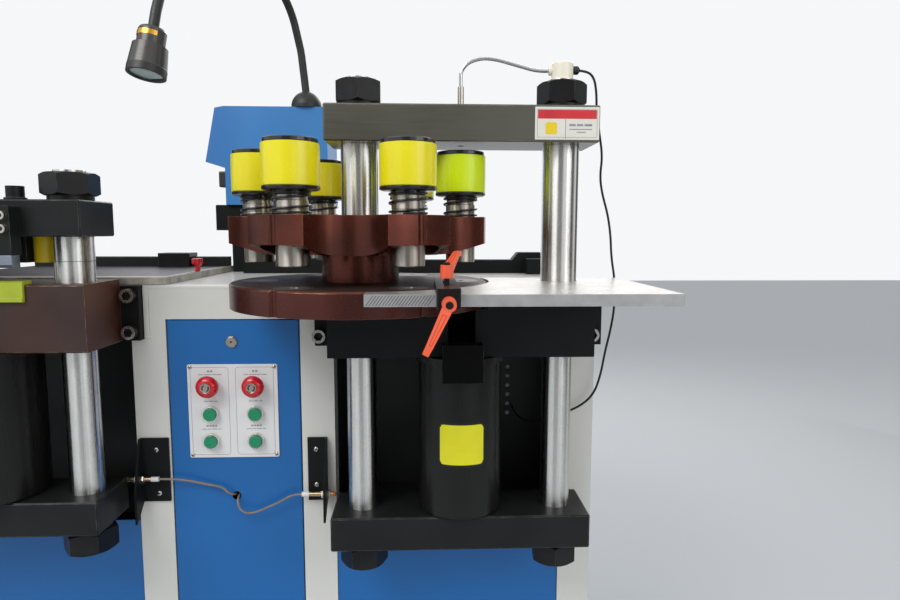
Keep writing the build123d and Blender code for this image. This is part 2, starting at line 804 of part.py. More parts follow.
# Work table round the turret
with BuildPart() as work_table:
    table_right = punch_x + work_table_right
    block(punch_x + work_table_left, table_right, column_y - work_table_front,
          column_y + work_table_back, work_table_bottom, table_z)
    chamfer(work_table.edges().filter_by(Axis.Z), length=1.0)
    post(turret_x, column_y, work_table_bottom, table_z, 2 * (die_wheel_radius + table_wheel_gap),
         Mode.SUBTRACT)
    post(right_column_x, column_y, work_table_bottom, table_z, rod_diameter + 2 * fit_gap + 1.0,
         Mode.SUBTRACT)
    top_stud_y = column_y - work_table_front + top_lever_inset
    post(punch_x + guide_x, top_stud_y, work_table_bottom, table_z, lever_stud + 2 * fit_gap, Mode.SUBTRACT)
work_table.part.label = "work_table"
export_step(work_table.part, "parts/work_table.step")

# Guide bar on the table, held by two clamping levers
guide_z = table_z + guide_front_gap
guide_top = guide_z + guide_height
table_front_y = column_y - work_table_front
guide_left = punch_x + guide_x - guide_width / 2
guide_right = guide_left + guide_width
front_lever_z = table_z - front_lever_drop
with BuildPart() as guide_bar:
    guide_front_y = table_front_y - guide_front_gap - guide_block_depth
    block(guide_left, guide_right, guide_front_y, guide_front_y + guide_length, guide_z, guide_top)
    block(guide_left, guide_right, guide_front_y, table_front_y - guide_front_gap,
          table_z - guide_block_drop, guide_top)
    chamfer(guide_bar.edges().filter_by(Axis.Z), length=1.0)
    slot_width = lever_stud + 2 * fit_gap
    block(punch_x + guide_x - slot_width / 2, punch_x + guide_x + slot_width / 2,
          top_stud_y - slot_width / 2, top_stud_y + guide_travel + slot_width / 2,
          guide_z, guide_top, Mode.SUBTRACT)
    across(punch_x + guide_x, guide_front_y, guide_front_y + lever_socket_depth, front_lever_z,
           lever_stud + 2 * fit_gap, Mode.SUBTRACT)
guide_bar.part.label = "guide_bar"
export_step(guide_bar.part, "parts/guide_bar.step")

# Clamping lever: its stud goes down from the XY plane, its hub stands on it, its arm points along +X
stud_length = 14.0
hub_base = 8.0
lever_root_width = 6.5
lever_tip_width = 4.0
screw_diameter = 9.6
screw_height = 5.0
screw_gap = 0.2
lever_arm_start = 6.0
lever_tip_run = 11.0
lever_taper_start = 8.0


def clamping_lever(length):
    arm_z = hub_base + lever_arm_start
    tip_z = arm_z + lever_rise
    hub_top = hub_base + lever_hub_height
    cut_z = arm_z - 1.0
    cut_height = lever_hub_height + lever_rise + lever_arm
    screw_radius = screw_diameter / 2
    with BuildPart() as lever:
        post(0, 0, -stud_length, hub_base, lever_stud)
        with BuildSketch(Plane.XY.offset(hub_base)):
            Circle(lever_hub_diameter / 2)
        extrude(amount=lever_hub_height, taper=2.0)
        with BuildSketch(Plane.XZ):
            with BuildLine():
                Polyline((screw_radius, arm_z), (length - lever_tip_run, tip_z), (length, tip_z + 1.0),
                         (length, tip_z + 1.0 + lever_arm), (length - lever_tip_run, tip_z + lever_arm),
                         (screw_radius, hub_top - 1.0), close=True)
            make_face()
        extrude(amount=lever_root_width, both=True)
        for side in (-1, 1):
            with BuildSketch(Plane.XY.offset(cut_z)):
                with BuildLine():
                    Polyline((lever_taper_start, side * lever_root_width),
                             (length + 1.0, side * lever_tip_width),
                             (length + 1.0, side * lever_hub_diameter),
                             (lever_taper_start, side * lever_hub_diameter), close=True)
                make_face()
            extrude(amount=cut_height, mode=Mode.SUBTRACT)
        post(0, 0, hub_top - screw_height, hub_top, screw_diameter + 2 * screw_gap, Mode.SUBTRACT)
        post(0, 0, hub_top - screw_height, hub_top - 1.0, screw_diameter)
        with BuildSketch(Plane.XY.offset(hub_top - 1.0)):
            RegularPolygon(screw_height / 2, 6)
        extrude(amount=-screw_height / 2, mode=Mode.SUBTRACT)
    return lever.part


top_lever_seat = (punch_x + guide_x, top_stud_y, guide_top + fit_gap)
top_lever_place = Location(top_lever_seat, (0, 0, 90.0 - top_lever_turn))
top_lever_shape = clamping_lever(top_lever_length)
with BuildPart() as top_lever:
    with Locations(top_lever_place):
        add(top_lever_shape)
top_lever.part.label = "top_lever"
export_step(top_lever.part, "parts/top_lever.step")

# The front lever hangs down and to the left, its hub facing the front
front_lever_place = Location((punch_x + guide_x, guide_front_y - fit_gap, front_lever_z)) * Location(
    (0, 0, 0), (90, 0, 0)) * Location((0, 0, 0), (0, 0, -90.0 - front_lever_turn))
front_lever_shape = clamping_lever(front_lever_length)
with BuildPart() as front_lever:
    with Locations(front_lever_place):
        add(front_lever_shape)
front_lever.part.label = "front_lever"
export_step(front_lever.part, "parts/front_lever.step")

# Slug chute: a ramp in the slot of the bed and a tray that hangs in front of it
chute_left = punch_x - chute_width / 2
chute_front = plate_front_y - chute_depth
chute_well_y = column_y - punch_cylinder_diameter / 2 - cylinder_flange_margin - cylinder_clearance
chute_shelf = punch_bed_z + cylinder_clearance
chute_bottom = table_z - chute_drop
chute_lip = table_z - chute_lip_drop
ramp_gap = 0.5
ramp_half = slug_slot_width / 2 - ramp_gap
ramp_knee = (plate_front_y + slug_slot_reach - 2 * ramp_gap, slot_floor + ramp_gap)
ramp_top = (column_y, slot_floor + 28.0)
ramp_lap = 1.5
with BuildPart() as slug_chute:
    with BuildSketch(Plane.YZ.offset(chute_left)):
        with BuildLine():
            Polyline((plate_front_y, chute_shelf), (plate_front_y, chute_lip), (chute_front, chute_lip),
                     (chute_front, chute_bottom), (chute_well_y, chute_bottom),
                     (chute_well_y, chute_shelf), close=True)
        make_face()
    extrude(amount=chute_width)
    with BuildSketch(Plane.YZ.offset(chute_left + chute_sheet)):
        with BuildLine():
            Polyline((plate_front_y, chute_shelf + chute_sheet), (plate_front_y, chute_lip),
                     (chute_front + chute_sheet, chute_lip),
                     (chute_front + chute_sheet, chute_bottom + chute_sheet),
                     (chute_well_y - chute_sheet, chute_bottom + chute_sheet),
                     (chute_well_y - chute_sheet, chute_shelf + chute_sheet), close=True)
        make_face()
    extrude(amount=chute_width - 2 * chute_sheet, mode=Mode.SUBTRACT)
    with BuildSketch(Plane.YZ.offset(punch_x - ramp_half)):
        with BuildLine():
            Polyline((plate_front_y, chute_shelf), ramp_knee, ramp_top,
                     (ramp_top[0], ramp_top[1] + chute_sheet),
                     (ramp_knee[0] - ramp_lap, ramp_knee[1] + chute_sheet),
                     (plate_front_y, chute_shelf + 2 * chute_sheet), close=True)
        make_face()
    extrude(amount=2 * ramp_half)
slug_chute.part.label = "slug_chute"
export_step(slug_chute.part, "parts/slug_chute.step")

# Shearing press
shear_beam_z = table_z + shear_beam_rise
shear_bed_z = table_z - shear_bed_drop
shear_bed_top = table_z - shear_bed_top_drop
shear_base_top = table_z - shear_base_drop
shear_base_z = shear_base_top - plate_height
lower_blade_top = table_z + lower_blade_rise
lower_blade_z = lower_blade_top - lower_blade_height
lower_blade_y = plate_front_y - lower_blade_proud

with BuildPart() as shear_bed:
    shear_left = shear_x - shear_plate_width / 2
    shear_right = shear_x + shear_plate_width / 2
    block(shear_left, shear_right, plate_front_y, flange_y, shear_bed_z, shear_bed_top)
    chamfer(shear_bed.edges().filter_by(Axis.X).sort_by(Axis.Y)[0:2], length=plate_edge)
    block(shear_left - shear_flange_margin, shear_right + shear_flange_margin, flange_y, front_y,
          shear_bed_z, table_z - shear_flange_top)
    block(shear_x - lower_blade_width / 2, shear_x + lower_blade_width / 2,
          lower_blade_y, lower_blade_y + lower_blade_thickness, lower_blade_z,
          shear_bed_top, Mode.SUBTRACT)
    for side in (-1, 1):
        post(shear_x + side * shear_spacing / 2, column_y, shear_bed_z, shear_bed_top,
             rod_diameter + 2 * fit_gap, Mode.SUBTRACT)
    shear_screw_x = (shear_left - shear_screw_offset, shear_right + shear_screw_offset)
    shear_screw_z = [table_z - drop for drop in shear_screw_drops]
    for screw_x in shear_screw_x:
        for screw_z in shear_screw_z:
            across(screw_x, flange_y, front_y, screw_z, flange_screw_hole, Mode.SUBTRACT)
shear_bed.part.label = "shear_bed"
export_step(shear_bed.part, "parts/shear_bed.step")

with BuildPart() as lower_blade:
    block(shear_x - lower_blade_width / 2, shear_x + lower_blade_width / 2,
          lower_blade_y, lower_blade_y + lower_blade_thickness, lower_blade_z, lower_blade_top)
    blade_edges = lower_blade.edges().filter_by(Axis.X).group_by(Axis.Z)[-1]
    chamfer(blade_edges.sort_by(Axis.Y)[0], length=lower_blade_chamfer)
lower_blade.part.label = "lower_blade"
export_step(lower_blade.part, "parts/lower_blade.step")

# Socket screws that hold both beds to the cabinet
screw_head = flange_screw * 1.5
screw_places = [(x, table_z - punch_screw_drop) for x in punch_screw_x]
screw_places += [(x, z) for x in shear_screw_x for z in shear_screw_z]
with BuildPart() as bed_screws:
    for screw_x, screw_z in screw_places:
        across(screw_x, flange_y - flange_screw, flange_y, screw_z, screw_head)
        across(screw_x, flange_y, front_y, screw_z, flange_screw)
        with BuildSketch(Plane.XZ.offset(-flange_y + flange_screw)):
            with Locations((screw_x, screw_z)):
                RegularPolygon(flange_screw / 2, 6)
        extrude(amount=-flange_screw / 2, mode=Mode.SUBTRACT)
bed_screws.part.label = "bed_screws"
export_step(bed_screws.part, "parts/bed_screws.step")

shear_cylinder = press_cylinder(shear_x, shear_cylinder_diameter, shear_bed_z,
                                shear_base_top + cylinder_clearance)
with BuildPart() as press_cylinders:
    add(punch_cylinder.part)
    add(shear_cylinder.part)
press_cylinders.part.label = "press_cylinders"
export_step(press_cylinders.part, "parts/press_cylinders.step")

shear_beam = press_plate(shear_x, shear_plate_width, shear_spacing, shear_beam_z, shear_thread)
shear_beam.part.label = "shear_beam"
export_step(shear_beam.part, "parts/shear_beam.step")

shear_blank = press_plate(shear_x, shear_plate_width, shear_spacing, shear_base_z, shear_thread)
with BuildPart() as shear_base:
    add(shear_blank.part)
    add_ram(shear_x, shear_base_top)
shear_base.part.label = "shear_base"
export_step(shear_base.part, "parts/shear_base.step")

shear_rods = press_rods(shear_x, shear_spacing, shear_rod_waist, shear_beam_z, shear_base_z,
                        shear_bed_z + shear_stroke + rod_shoulder_gap, shear_thread)
shear_rods.part.label = "shear_rods"
export_step(shear_rods.part, "parts/shear_rods.step")

shear_nuts = press_nuts(shear_x, shear_spacing, shear_beam_z + plate_height, shear_base_z,
                        shear_nut_turns, shear_nut_flats, shear_thread)
shear_nuts.part.label = "shear_nuts"
export_step(shear_nuts.part, "parts/shear_nuts.step")

blade_z = table_z + blade_bottom_rise
blade_back_y = lower_blade_y - fit_gap
hold_down_z = table_z + hold_down_gap
beam_top_z = shear_beam_z + plate_height
adjuster_place = (shear_x + adjuster_x, column_y - adjuster_y)
adjuster_head_z = beam_top_z + adjuster_washer_height
with BuildPart() as blade_holder:
    holder_left = shear_x - blade_width / 2
    holder_right = shear_x + blade_width / 2
    block(holder_left, holder_right, plate_front_y - holder_thickness, plate_front_y,
          blade_z + blade_height, table_z + holder_rise)
    holder_front_y = plate_front_y - holder_thickness
    for screw_x in (holder_left + holder_screw_insets[0], holder_right - holder_screw_insets[1]):
        for rise in holder_screw_rises:
            across(screw_x, holder_front_y - holder_screw_head, holder_front_y, table_z + rise, holder_screw)
    block(shear_x - hold_down_left, shear_x + hold_down_right, column_y - hold_down_front,
          column_y + hold_down_back, hold_down_z, shear_beam_z)
    post(shear_x + spring_sleeve_x, column_y + spring_sleeve_y, hold_down_z, shear_beam_z,
         spring_sleeve_diameter)
    post(*adjuster_place, beam_top_z, adjuster_head_z, adjuster_washer)
    post(*adjuster_place, adjuster_head_z, adjuster_head_z + adjuster_height, adjuster_diameter)
blade_holder.part.label = "blade_holder"
export_step(blade_holder.part, "parts/blade_holder.step")

with BuildPart() as upper_blade:
    block(holder_left, holder_right, blade_back_y - blade_thickness, blade_back_y,
          blade_z, blade_z + blade_height)
    cutting_edges = upper_blade.edges().filter_by(Axis.X).group_by(Axis.Z)[0]
    chamfer(cutting_edges.sort_by(Axis.Y)[0], length=blade_chamfer)
upper_blade.part.label = "upper_blade"
export_step(upper_blade.part, "parts/upper_blade.step")

# Power unit in the cabinet: an oil tank on feet, with a motor and a valve block on its lid
tank_x = 10.0
tank_y = 60.0
tank_width = 420.0
tank_depth = 300.0
tank_height = 200.0
tank_corner = 8.0
tank_lid = 8.0
lid_overhang = 6.0
tank_foot = 20.0
tank_foot_width = 40.0
tank_foot_inset = 20.0
motor_diameter = 180.0
motor_height = 240.0
motor_flange = 200.0
motor_flange_height = 16.0
motor_inset = 130.0
motor_crown = 14.0
motor_box_width = 46.0
motor_box_depth = 90.0
motor_box_rises = (100.0, 180.0)
valve_size = (90.0, 90.0, 110.0)
valve_inset = 90.0
filler_diameter = 46.0
filler_height = 40.0
filler_y = -40.0
tray_top = foot_height + tray_thickness
tank_z = tray_top + tank_foot
lid_z = tank_z + tank_height
lid_top = lid_z + tank_lid
tank_left = tank_x - tank_width / 2
tank_right = tank_x + tank_width / 2
tank_front = tank_y - tank_depth / 2
tank_back = tank_y + tank_depth / 2
motor_x = tank_left + motor_inset
motor_side = motor_x + motor_diameter / 2
valve_x = tank_right - valve_inset
with BuildPart() as power_unit:
    block(tank_left, tank_right, tank_front, tank_back, tank_z, lid_z)
    fillet(power_unit.edges().filter_by(Axis.Z), radius=tank_corner)
    block(tank_left - lid_overhang, tank_right + lid_overhang, tank_front - lid_overhang,
          tank_back + lid_overhang, lid_z, lid_top)
    for foot_left in (tank_left + tank_foot_inset, tank_right - tank_foot_inset - tank_foot_width):
        block(foot_left, foot_left + tank_foot_width, tank_front + tank_foot_inset,
              tank_back - tank_foot_inset, tray_top, tank_z)
    post(motor_x, tank_y, lid_top, lid_top + motor_flange_height, motor_flange)
    post(motor_x, tank_y, lid_top + motor_flange_height, lid_top + motor_height, motor_diameter)
    fillet(power_unit.edges().group_by(Axis.Z)[-1], radius=motor_crown)
    block(motor_side - motor_box_width / 2, motor_side + motor_box_width / 2, tank_y - motor_box_depth / 2,
          tank_y + motor_box_depth / 2, lid_z + motor_box_rises[0], lid_z + motor_box_rises[1])
    block(valve_x - valve_size[0] / 2, valve_x + valve_size[0] / 2, tank_y - valve_size[1] / 2,
          tank_y + valve_size[1] / 2, lid_top, lid_top + valve_size[2])
    post(valve_x, filler_y, lid_top, lid_top + filler_height, filler_diameter)
power_unit.part.label = "power_unit"
export_step(power_unit.part, "parts/power_unit.step")

# Feed table behind the shear, with its rear fence, a sliding stop and a clamp knob
with BuildPart() as feed_table:
    block(feed_table_left, feed_table_right, front_y, front_y + feed_table_depth, top_z, table_z)
    chamfer(feed_table.edges().filter_by(Axis.Z), length=feed_corner)
    chamfer(feed_table.faces().sort_by(Axis.Z)[-1].edges(), length=feed_edge)
    post(knob_x, knob_y, top_z, table_z, knob_stem + 2 * fit_gap, Mode.SUBTRACT)
feed_table.part.label = "feed_table"
export_step(feed_table.part, "parts/feed_table.step")

fence_y = front_y + feed_table_depth - fence_setback
stop_y = fence_y - fence_thickness
with BuildPart() as feed_fence:
    block(feed_table_left + fence_inset, feed_table_right - fence_end_gap, stop_y, fence_y, table_z,
          table_z + fence_height)
    chamfer(feed_fence.edges().filter_by(Axis.X).group_by(Axis.Z)[-1], length=fence_edge)
feed_fence.part.label = "feed_fence"
export_step(feed_fence.part, "parts/feed_fence.step")

with BuildPart() as fence_stop:
    block(stop_x - stop_width / 2, stop_x + stop_width / 2, stop_y - stop_depth, stop_y - fit_gap,
          table_z + fit_gap, table_z + stop_height)
    block(stop_x - stop_width / 2, stop_x + stop_width / 2, stop_y - stop_depth, fence_y + stop_overhang,
          table_z + fence_height + fit_gap, table_z + stop_height + stop_lip)
    chamfer(fence_stop.edges().filter_by(Axis.Z), length=stop_corner)
fence_stop.part.label = "fence_stop"
export_step(fence_stop.part, "parts/fence_stop.step")

knob_radius = knob_diameter / 2
grip_z = knob_height - knob_grip
with BuildPart() as fence_knob:
    with BuildSketch(Plane((knob_x, knob_y, table_z), x_dir=(1, 0, 0), z_dir=(0, -1, 0))):
        with BuildLine():
            Polyline((0, -knob_thread), (knob_stem / 2, -knob_thread), (knob_stem / 2, fit_gap),
                     (knob_seat / 2, fit_gap), (knob_neck / 2, grip_z - knob_flare),
                     (knob_radius - knob_edge, grip_z), (knob_radius, grip_z + knob_edge),
                     (knob_radius, knob_height - knob_edge), (knob_radius - knob_edge, knob_height),
                     (0, knob_height), close=True)
        make_face()
    revolve(axis=Axis((knob_x, knob_y, 0), (0, 0, 1)))
    with BuildSketch(Plane.XY.offset(table_z + grip_z)):
        with Locations((knob_x, knob_y)):
            with PolarLocations(knob_radius + knob_flute / 2, knob_flute_count):
                Circle(knob_flute)
    extrude(amount=knob_grip, mode=Mode.SUBTRACT)
fence_knob.part.label = "fence_knob"
export_step(fence_knob.part, "parts/fence_knob.step")

# Door: a folded tray on two pins, with holes for the controls
lock_x = plate_x
stop_xs = (plate_x - control_spacing / 2, plate_x + control_spacing / 2)
with BuildPart() as door:
    block(door_left, door_right, front_y, front_y + door_return, door_bottom, door_top)
    fillet(door.edges().filter_by(Axis.Z).group_by(Axis.Y)[0], radius=door_edge)
    block(door_left + door_sheet, door_right - door_sheet, front_y + door_sheet, front_y + door_return,
          door_bottom + door_sheet, door_top - door_sheet, Mode.SUBTRACT)
    control_holes = [(x, table_z - stop_drop) for x in stop_xs]
    control_holes += [(x, table_z - drop) for drop in start_drops for x in stop_xs]
    for hole_x, hole_z in control_holes:
        across(hole_x, front_y, front_y + door_sheet, hole_z, button_hole + 2 * door_hole_margin,
               Mode.SUBTRACT)
    across(lock_x, front_y, front_y + door_sheet, table_z - lock_drop, lock_diameter - lock_step,
           Mode.SUBTRACT)
    across(plate_x, front_y, front_y + door_sheet, table_z - cable_hole_drop, cable_hole, Mode.SUBTRACT)
    post(hinge_x, hinge_y, door_top - door_sheet, door_head + hinge_pin_length, hinge_pin)
    post(hinge_x, hinge_y, bay_bottom - hinge_pin_length, door_bottom + door_sheet, hinge_pin)
door.part.label = "door"
export_step(door.part, "parts/door.step")

plate_y = front_y - plate_thickness
plate_z = table_z - plate_center_drop
with BuildPart() as control_plate:
    block(plate_x - plate_width / 2, plate_x + plate_width / 2, plate_y, front_y,
          plate_z - plate_height_panel / 2, plate_z + plate_height_panel / 2)
    fillet(control_plate.edges().filter_by(Axis.Y), radius=plate_corner)
    for hole_x, hole_z in control_holes:
        across(hole_x, plate_y, front_y, hole_z, button_hole, Mode.SUBTRACT)
control_plate.part.label = "control_plate"
export_step(control_plate.part, "parts/control_plate.step")

# Stop buttons: a mushroom head on a stem, pushed in along +Y
stop_bezel_height = 9.0
stop_head_stand = 14.0
stop_head_height = 14.0
stop_head_rim = 3.0
stop_head_edge = 2.0
stop_disc = 18.0
stem_gap = 0.3
stop_stem = 16.0
stem_depth = 12.0
start_bezel_height = 8.0
start_cap_proud = 4.0
start_cap_length = 7.5
start_cap_wall = 3.0
start_stem = 16.0
start_stem_depth = 8.0
start_web = 0.8
bezel_tail = 10.0
tail_gap = 0.2


def stop_head(x, z):
    base = plate_y - stop_head_stand
    crown = base - stop_head_height
    rim = stop_head_diameter / 2
    stem_y = front_y + stem_depth
    with BuildPart() as head:
        with BuildSketch(Plane((x, 0, z), x_dir=(1, 0, 0), z_dir=(0, 0, 1))):
            with BuildLine():
                Polyline((stop_disc / 2, crown), (stop_disc / 2 - 1.0, crown + 1.0), (0, crown + 1.0),
                         (0, stem_y), (stop_stem / 2, stem_y), (stop_stem / 2, base),
                         (rim - stop_head_edge, base), (rim, base - stop_head_rim))
                ThreePointArc((rim, base - stop_head_rim), (0.8 * rim, crown + stop_head_rim),
                              (stop_disc / 2, crown))
            make_face()
        revolve(axis=Axis((x, 0, z), (0, 1, 0)))
    return head


stop_head_left = stop_head(stop_xs[0], table_z - stop_drop)
stop_head_left.part.label = "stop_head_left"
export_step(stop_head_left.part, "parts/stop_head_left.step")
stop_head_right = stop_head(stop_xs[1], table_z - stop_drop)
stop_head_right.part.label = "stop_head_right"
export_step(stop_head_right.part, "parts/stop_head_right.step")

bezel_back_y = front_y + bezel_tail
with BuildPart() as button_bezels:
    for hole_x, hole_z in control_holes[0:2]:
        across(hole_x, plate_y - stop_bezel_height, plate_y, hole_z, bezel_diameter)
        across(hole_x, plate_y, bezel_back_y, hole_z, button_hole - tail_gap)
        across(hole_x, plate_y - stop_bezel_height, bezel_back_y, hole_z, stop_stem + 2 * stem_gap,
               Mode.SUBTRACT)
    for hole_x, hole_z in control_holes[2:]:
        across(hole_x, plate_y - start_bezel_height, plate_y, hole_z, bezel_diameter)
        across(hole_x, plate_y, bezel_back_y, hole_z, button_hole - tail_gap)
        across(hole_x, plate_y - start_bezel_height, bezel_back_y, hole_z,
               start_stem + 2 * stem_gap, Mode.SUBTRACT)
        across(hole_x, plate_y - start_bezel_height, plate_y - start_web, hole_z,
               start_cap_diameter + 2 * stem_gap, Mode.SUBTRACT)
button_bezels.part.label = "button_bezels"
export_step(button_bezels.part, "parts/button_bezels.step")

for number, (hole_x, hole_z) in enumerate(control_holes[2:], start=1):
    with BuildPart() as start_cap:
        cap_front = plate_y - start_bezel_height - start_cap_proud
        across(hole_x, cap_front, cap_front + start_cap_length, hole_z, start_cap_diameter)
        fillet(start_cap.edges().sort_by(Axis.Y)[0], radius=1.0)
        across(hole_x, cap_front + start_cap_wall, front_y + start_stem_depth, hole_z, start_stem)
    start_cap.part.label = f"start_cap_{number}"
    export_step(start_cap.part, f"parts/start_cap_{number}.step")

lock_z = table_z - lock_drop
lock_front_y = front_y - lock_face
lock_back_y = front_y + lock_body
tongue_y = lock_back_y - lock_tongue_thickness
half_tongue = lock_tongue_width / 2
with BuildPart() as door_lock:
    across(lock_x, lock_front_y, front_y, lock_z, lock_diameter)
    chamfer(door_lock.edges().sort_by(Axis.Y)[0], length=1.0)
    across(lock_x, front_y, lock_back_y, lock_z, lock_diameter - lock_step - 2 * stem_gap)
    block(lock_x - lock_slot_width / 2, lock_x + lock_slot_width / 2, lock_front_y,
          lock_front_y + lock_slot_depth, lock_z - lock_slot / 2, lock_z + lock_slot / 2, Mode.SUBTRACT)
    block(lock_x - half_tongue, lock_x + half_tongue, tongue_y, lock_back_y, lock_z - half_tongue,
          lock_z + lock_tongue)
door_lock.part.label = "door_lock"
export_step(door_lock.part, "parts/door_lock.step")

# Proximity sensors on gusseted brackets, one on each door post
left_bracket_x = (-182.0, -131.0)
left_bracket_z = (table_z - 409.0, table_z - 291.0)
left_sensor_z = table_z - 363.5
left_sensor_reach = 25.0
right_bracket_x = (118.5, 154.0)
right_bracket_z = (table_z - 411.0, table_z - 293.0)
right_sensor_z = table_z - 395.5
right_sensor_reach = 19.0
bracket_y = front_y - bracket_thickness
sensor_y = bracket_y - sensor_standoff


def sensor_bracket(x0, x1, z0, z1, gusset_x, sensor_z):
    with BuildPart() as bracket:
        block(x0, x1, bracket_y, front_y, z0, z1)
        with BuildSketch(Plane.YZ.offset(gusset_x)):
            with BuildLine():
                Polyline((bracket_y, z1), (bracket_y - gusset_top, z1),
                         (bracket_y - gusset_reach, z0 + gusset_drop),
                         (bracket_y - gusset_reach, z0 - gusset_drop), (bracket_y, z0), close=True)
            make_face()
        extrude(amount=bracket_thickness)
        with Locations(Location((gusset_x + bracket_thickness / 2, sensor_y, sensor_z), (0, 90, 0))):
            Cylinder(sensor_body / 2, 3 * bracket_thickness, mode=Mode.SUBTRACT)
    return bracket.part


def sensor_at(x_tip, x_nut, sensor_z):
    with BuildPart() as sensor:
        with Locations(Location((x_tip + sensor_length / 2, sensor_y, sensor_z), (0, 90, 0))):
            Cylinder(sensor_body / 2, sensor_length)
        nut_offset = sensor_nut_height / 2 + sensor_nut_gap
        for nut_x in (x_nut - nut_offset, x_nut + bracket_thickness + nut_offset):
            with BuildSketch(Plane((nut_x, sensor_y, sensor_z), x_dir=(0, 1, 0), z_dir=(1, 0, 0))):
                RegularPolygon(sensor_nut / 2, 6)
            extrude(amount=sensor_nut_height / 2, both=True)
    return sensor.part


left_gusset_x = left_bracket_x[0]
right_gusset_x = right_bracket_x[1] - bracket_thickness
left_tip_x = left_gusset_x - left_sensor_reach
right_tip_x = right_gusset_x + right_sensor_reach - sensor_length
with BuildPart() as end_sensors:
    add(sensor_bracket(*left_bracket_x, *left_bracket_z, left_gusset_x, left_sensor_z))
    add(sensor_bracket(*right_bracket_x, *right_bracket_z, right_gusset_x, right_sensor_z))
    add(sensor_at(left_tip_x, left_gusset_x, left_sensor_z))
    add(sensor_at(right_tip_x, right_gusset_x, right_sensor_z))
end_sensors.part.label = "end_sensors"
export_step(end_sensors.part, "parts/end_sensors.step")

# Rear gauge rail, bending frame and its housing
rail_left = turret_x - rear_rail_left
rail_right = side_x - rear_rail_inset
step_x = rail_right - rear_step_width
rail_top = top_z + rear_rail_height
step_top = rail_top + rear_step_rise
with BuildPart() as rear_gauge:
    with BuildSketch(Plane.XZ.offset(-rear_y)):
        with BuildLine():
            Polyline((rail_left, top_z), (rail_right, top_z), (rail_right, step_top),
                     (step_x + rear_step_run, step_top), (step_x, rail_top), (rail_left, rail_top),
                     close=True)
        make_face()
    extrude(amount=-rear_rail_depth)
    block(step_x + rear_block_inset, rail_right, rear_y - rear_block_depth, rear_y, top_z,
          rail_top + rear_block_rise)
rear_gauge.part.label = "rear_gauge"
export_step(rear_gauge.part, "parts/rear_gauge.step")

housing_left = housing_x - housing_width / 2
housing_right = housing_x + housing_width / 2
housing_bottom = table_z + housing_rise
housing_top = housing_bottom + housing_height
housing_y = rear_y + rear_rail_depth + housing_gap
frame_y = (housing_y + rear_frame_inset, housing_y + housing_depth - rear_frame_inset)
bend_block_z = table_z + bend_block_rise
with BuildPart() as rear_column:
    block(housing_left - rear_frame_left, housing_right - rear_frame_right, *frame_y, bend_block_z,
          housing_bottom)
    for post_left in (housing_left + rear_post_left, housing_right - rear_post_right):
        block(post_left, post_left + rear_post_width, *frame_y, top_z, bend_block_z)
    chamfer(rear_column.edges().filter_by(Axis.Y).group_by(Axis.Z)[-1], length=housing_edge)
rear_column.part.label = "rear_column"
export_step(rear_column.part, "parts/rear_column.step")

with BuildPart() as rear_housing:
    with BuildSketch(Plane.XZ.offset(-housing_y)):
        with BuildLine():
            Polyline((housing_left, housing_bottom), (housing_right, housing_bottom),
                     (housing_right, housing_top), (housing_left, housing_top),
                     (housing_left - wing_top_reach, housing_top - wing_top_drop),
                     (housing_left - wing_reach, housing_top - wing_drop),
                     (housing_left, housing_top - wing_foot_drop), close=True)
        make_face()
    extrude(amount=-housing_depth)
    fillet(rear_housing.edges().filter_by(Axis.Y).group_by(Axis.Z)[-1], radius=housing_edge)
rear_housing.part.label = "rear_housing"
export_step(rear_housing.part, "parts/rear_housing.step")

# Gooseneck work lamp on the housing
lamp_base_x = turret_x - lamp_reach
lamp_base_y = housing_y + lamp_inset
neck_bottom = lamp_base_height - lamp_seat
lamp_route = [(lamp_base_x, lamp_base_y, housing_top + neck_bottom)]
lamp_route += [(lamp_base_x + x, lamp_base_y + y, housing_top + z) for x, y, z in lamp_bends]
with BuildPart() as lamp_arm:
    with BuildLine() as neck_path:
        FilletPolyline(*lamp_route, radius=neck_radii)
    with BuildSketch(Plane(neck_path.line @ 0, z_dir=neck_path.line % 0)):
        Circle(lamp_neck_diameter / 2)
    sweep(path=neck_path.line)
    with BuildSketch(Plane((lamp_base_x, lamp_base_y, housing_top), x_dir=(1, 0, 0), z_dir=(0, -1, 0))):
        with BuildLine():
            Polyline((lamp_base_neck, lamp_base_height), (0, lamp_base_height), (0, 0),
                     (lamp_base_radius, 0), (lamp_base_radius, lamp_base_rim))
            ThreePointArc((lamp_base_radius, lamp_base_rim),
                          (lamp_base_radius * 0.76, lamp_base_height * 0.72),
                          (lamp_base_neck, lamp_base_height))
        make_face()
    revolve(axis=Axis((lamp_base_x, lamp_base_y, 0), (0, 0, 1)))
lamp_arm.part.label = "lamp_arm"
export_step(lamp_arm.part, "parts/lamp_arm.step")

neck_end = neck_path.line @ 1
neck_dir = neck_path.line % 1
head_plane = Plane(neck_end, x_dir=(1, 0, 0), z_dir=neck_dir)
head_radius = lamp_head_diameter / 2
lens_radius = head_radius - lamp_lens_rim
lens_depth = lamp_head_length - lamp_lens_recess
ring_top = lamp_head_length - lamp_ring_height
with BuildPart() as lamp_head:
    with BuildSketch(Plane(neck_end, x_dir=head_plane.x_dir, z_dir=head_plane.y_dir)):
        with BuildLine():
            Polyline((0, 0), (lamp_head_neck, 0), (lamp_collar_radius - 2.0, -3.0),
                     (lamp_collar_radius, -7.0), (lamp_collar_radius, -lamp_collar_length),
                     (lamp_shade_radius, -lamp_collar_length - 2.0), (head_radius - 0.5, -ring_top),
                     (head_radius, -ring_top - 1.0), (head_radius, -lamp_head_length),
                     (lens_radius + 1.5, -lamp_head_length), (lens_radius, -lens_depth),
                     (0, -lens_depth), close=True)
        make_face()
    revolve(axis=Axis(neck_end, neck_dir))
lamp_head.part.label = "lamp_head"
export_step(lamp_head.part, "parts/lamp_head.step")


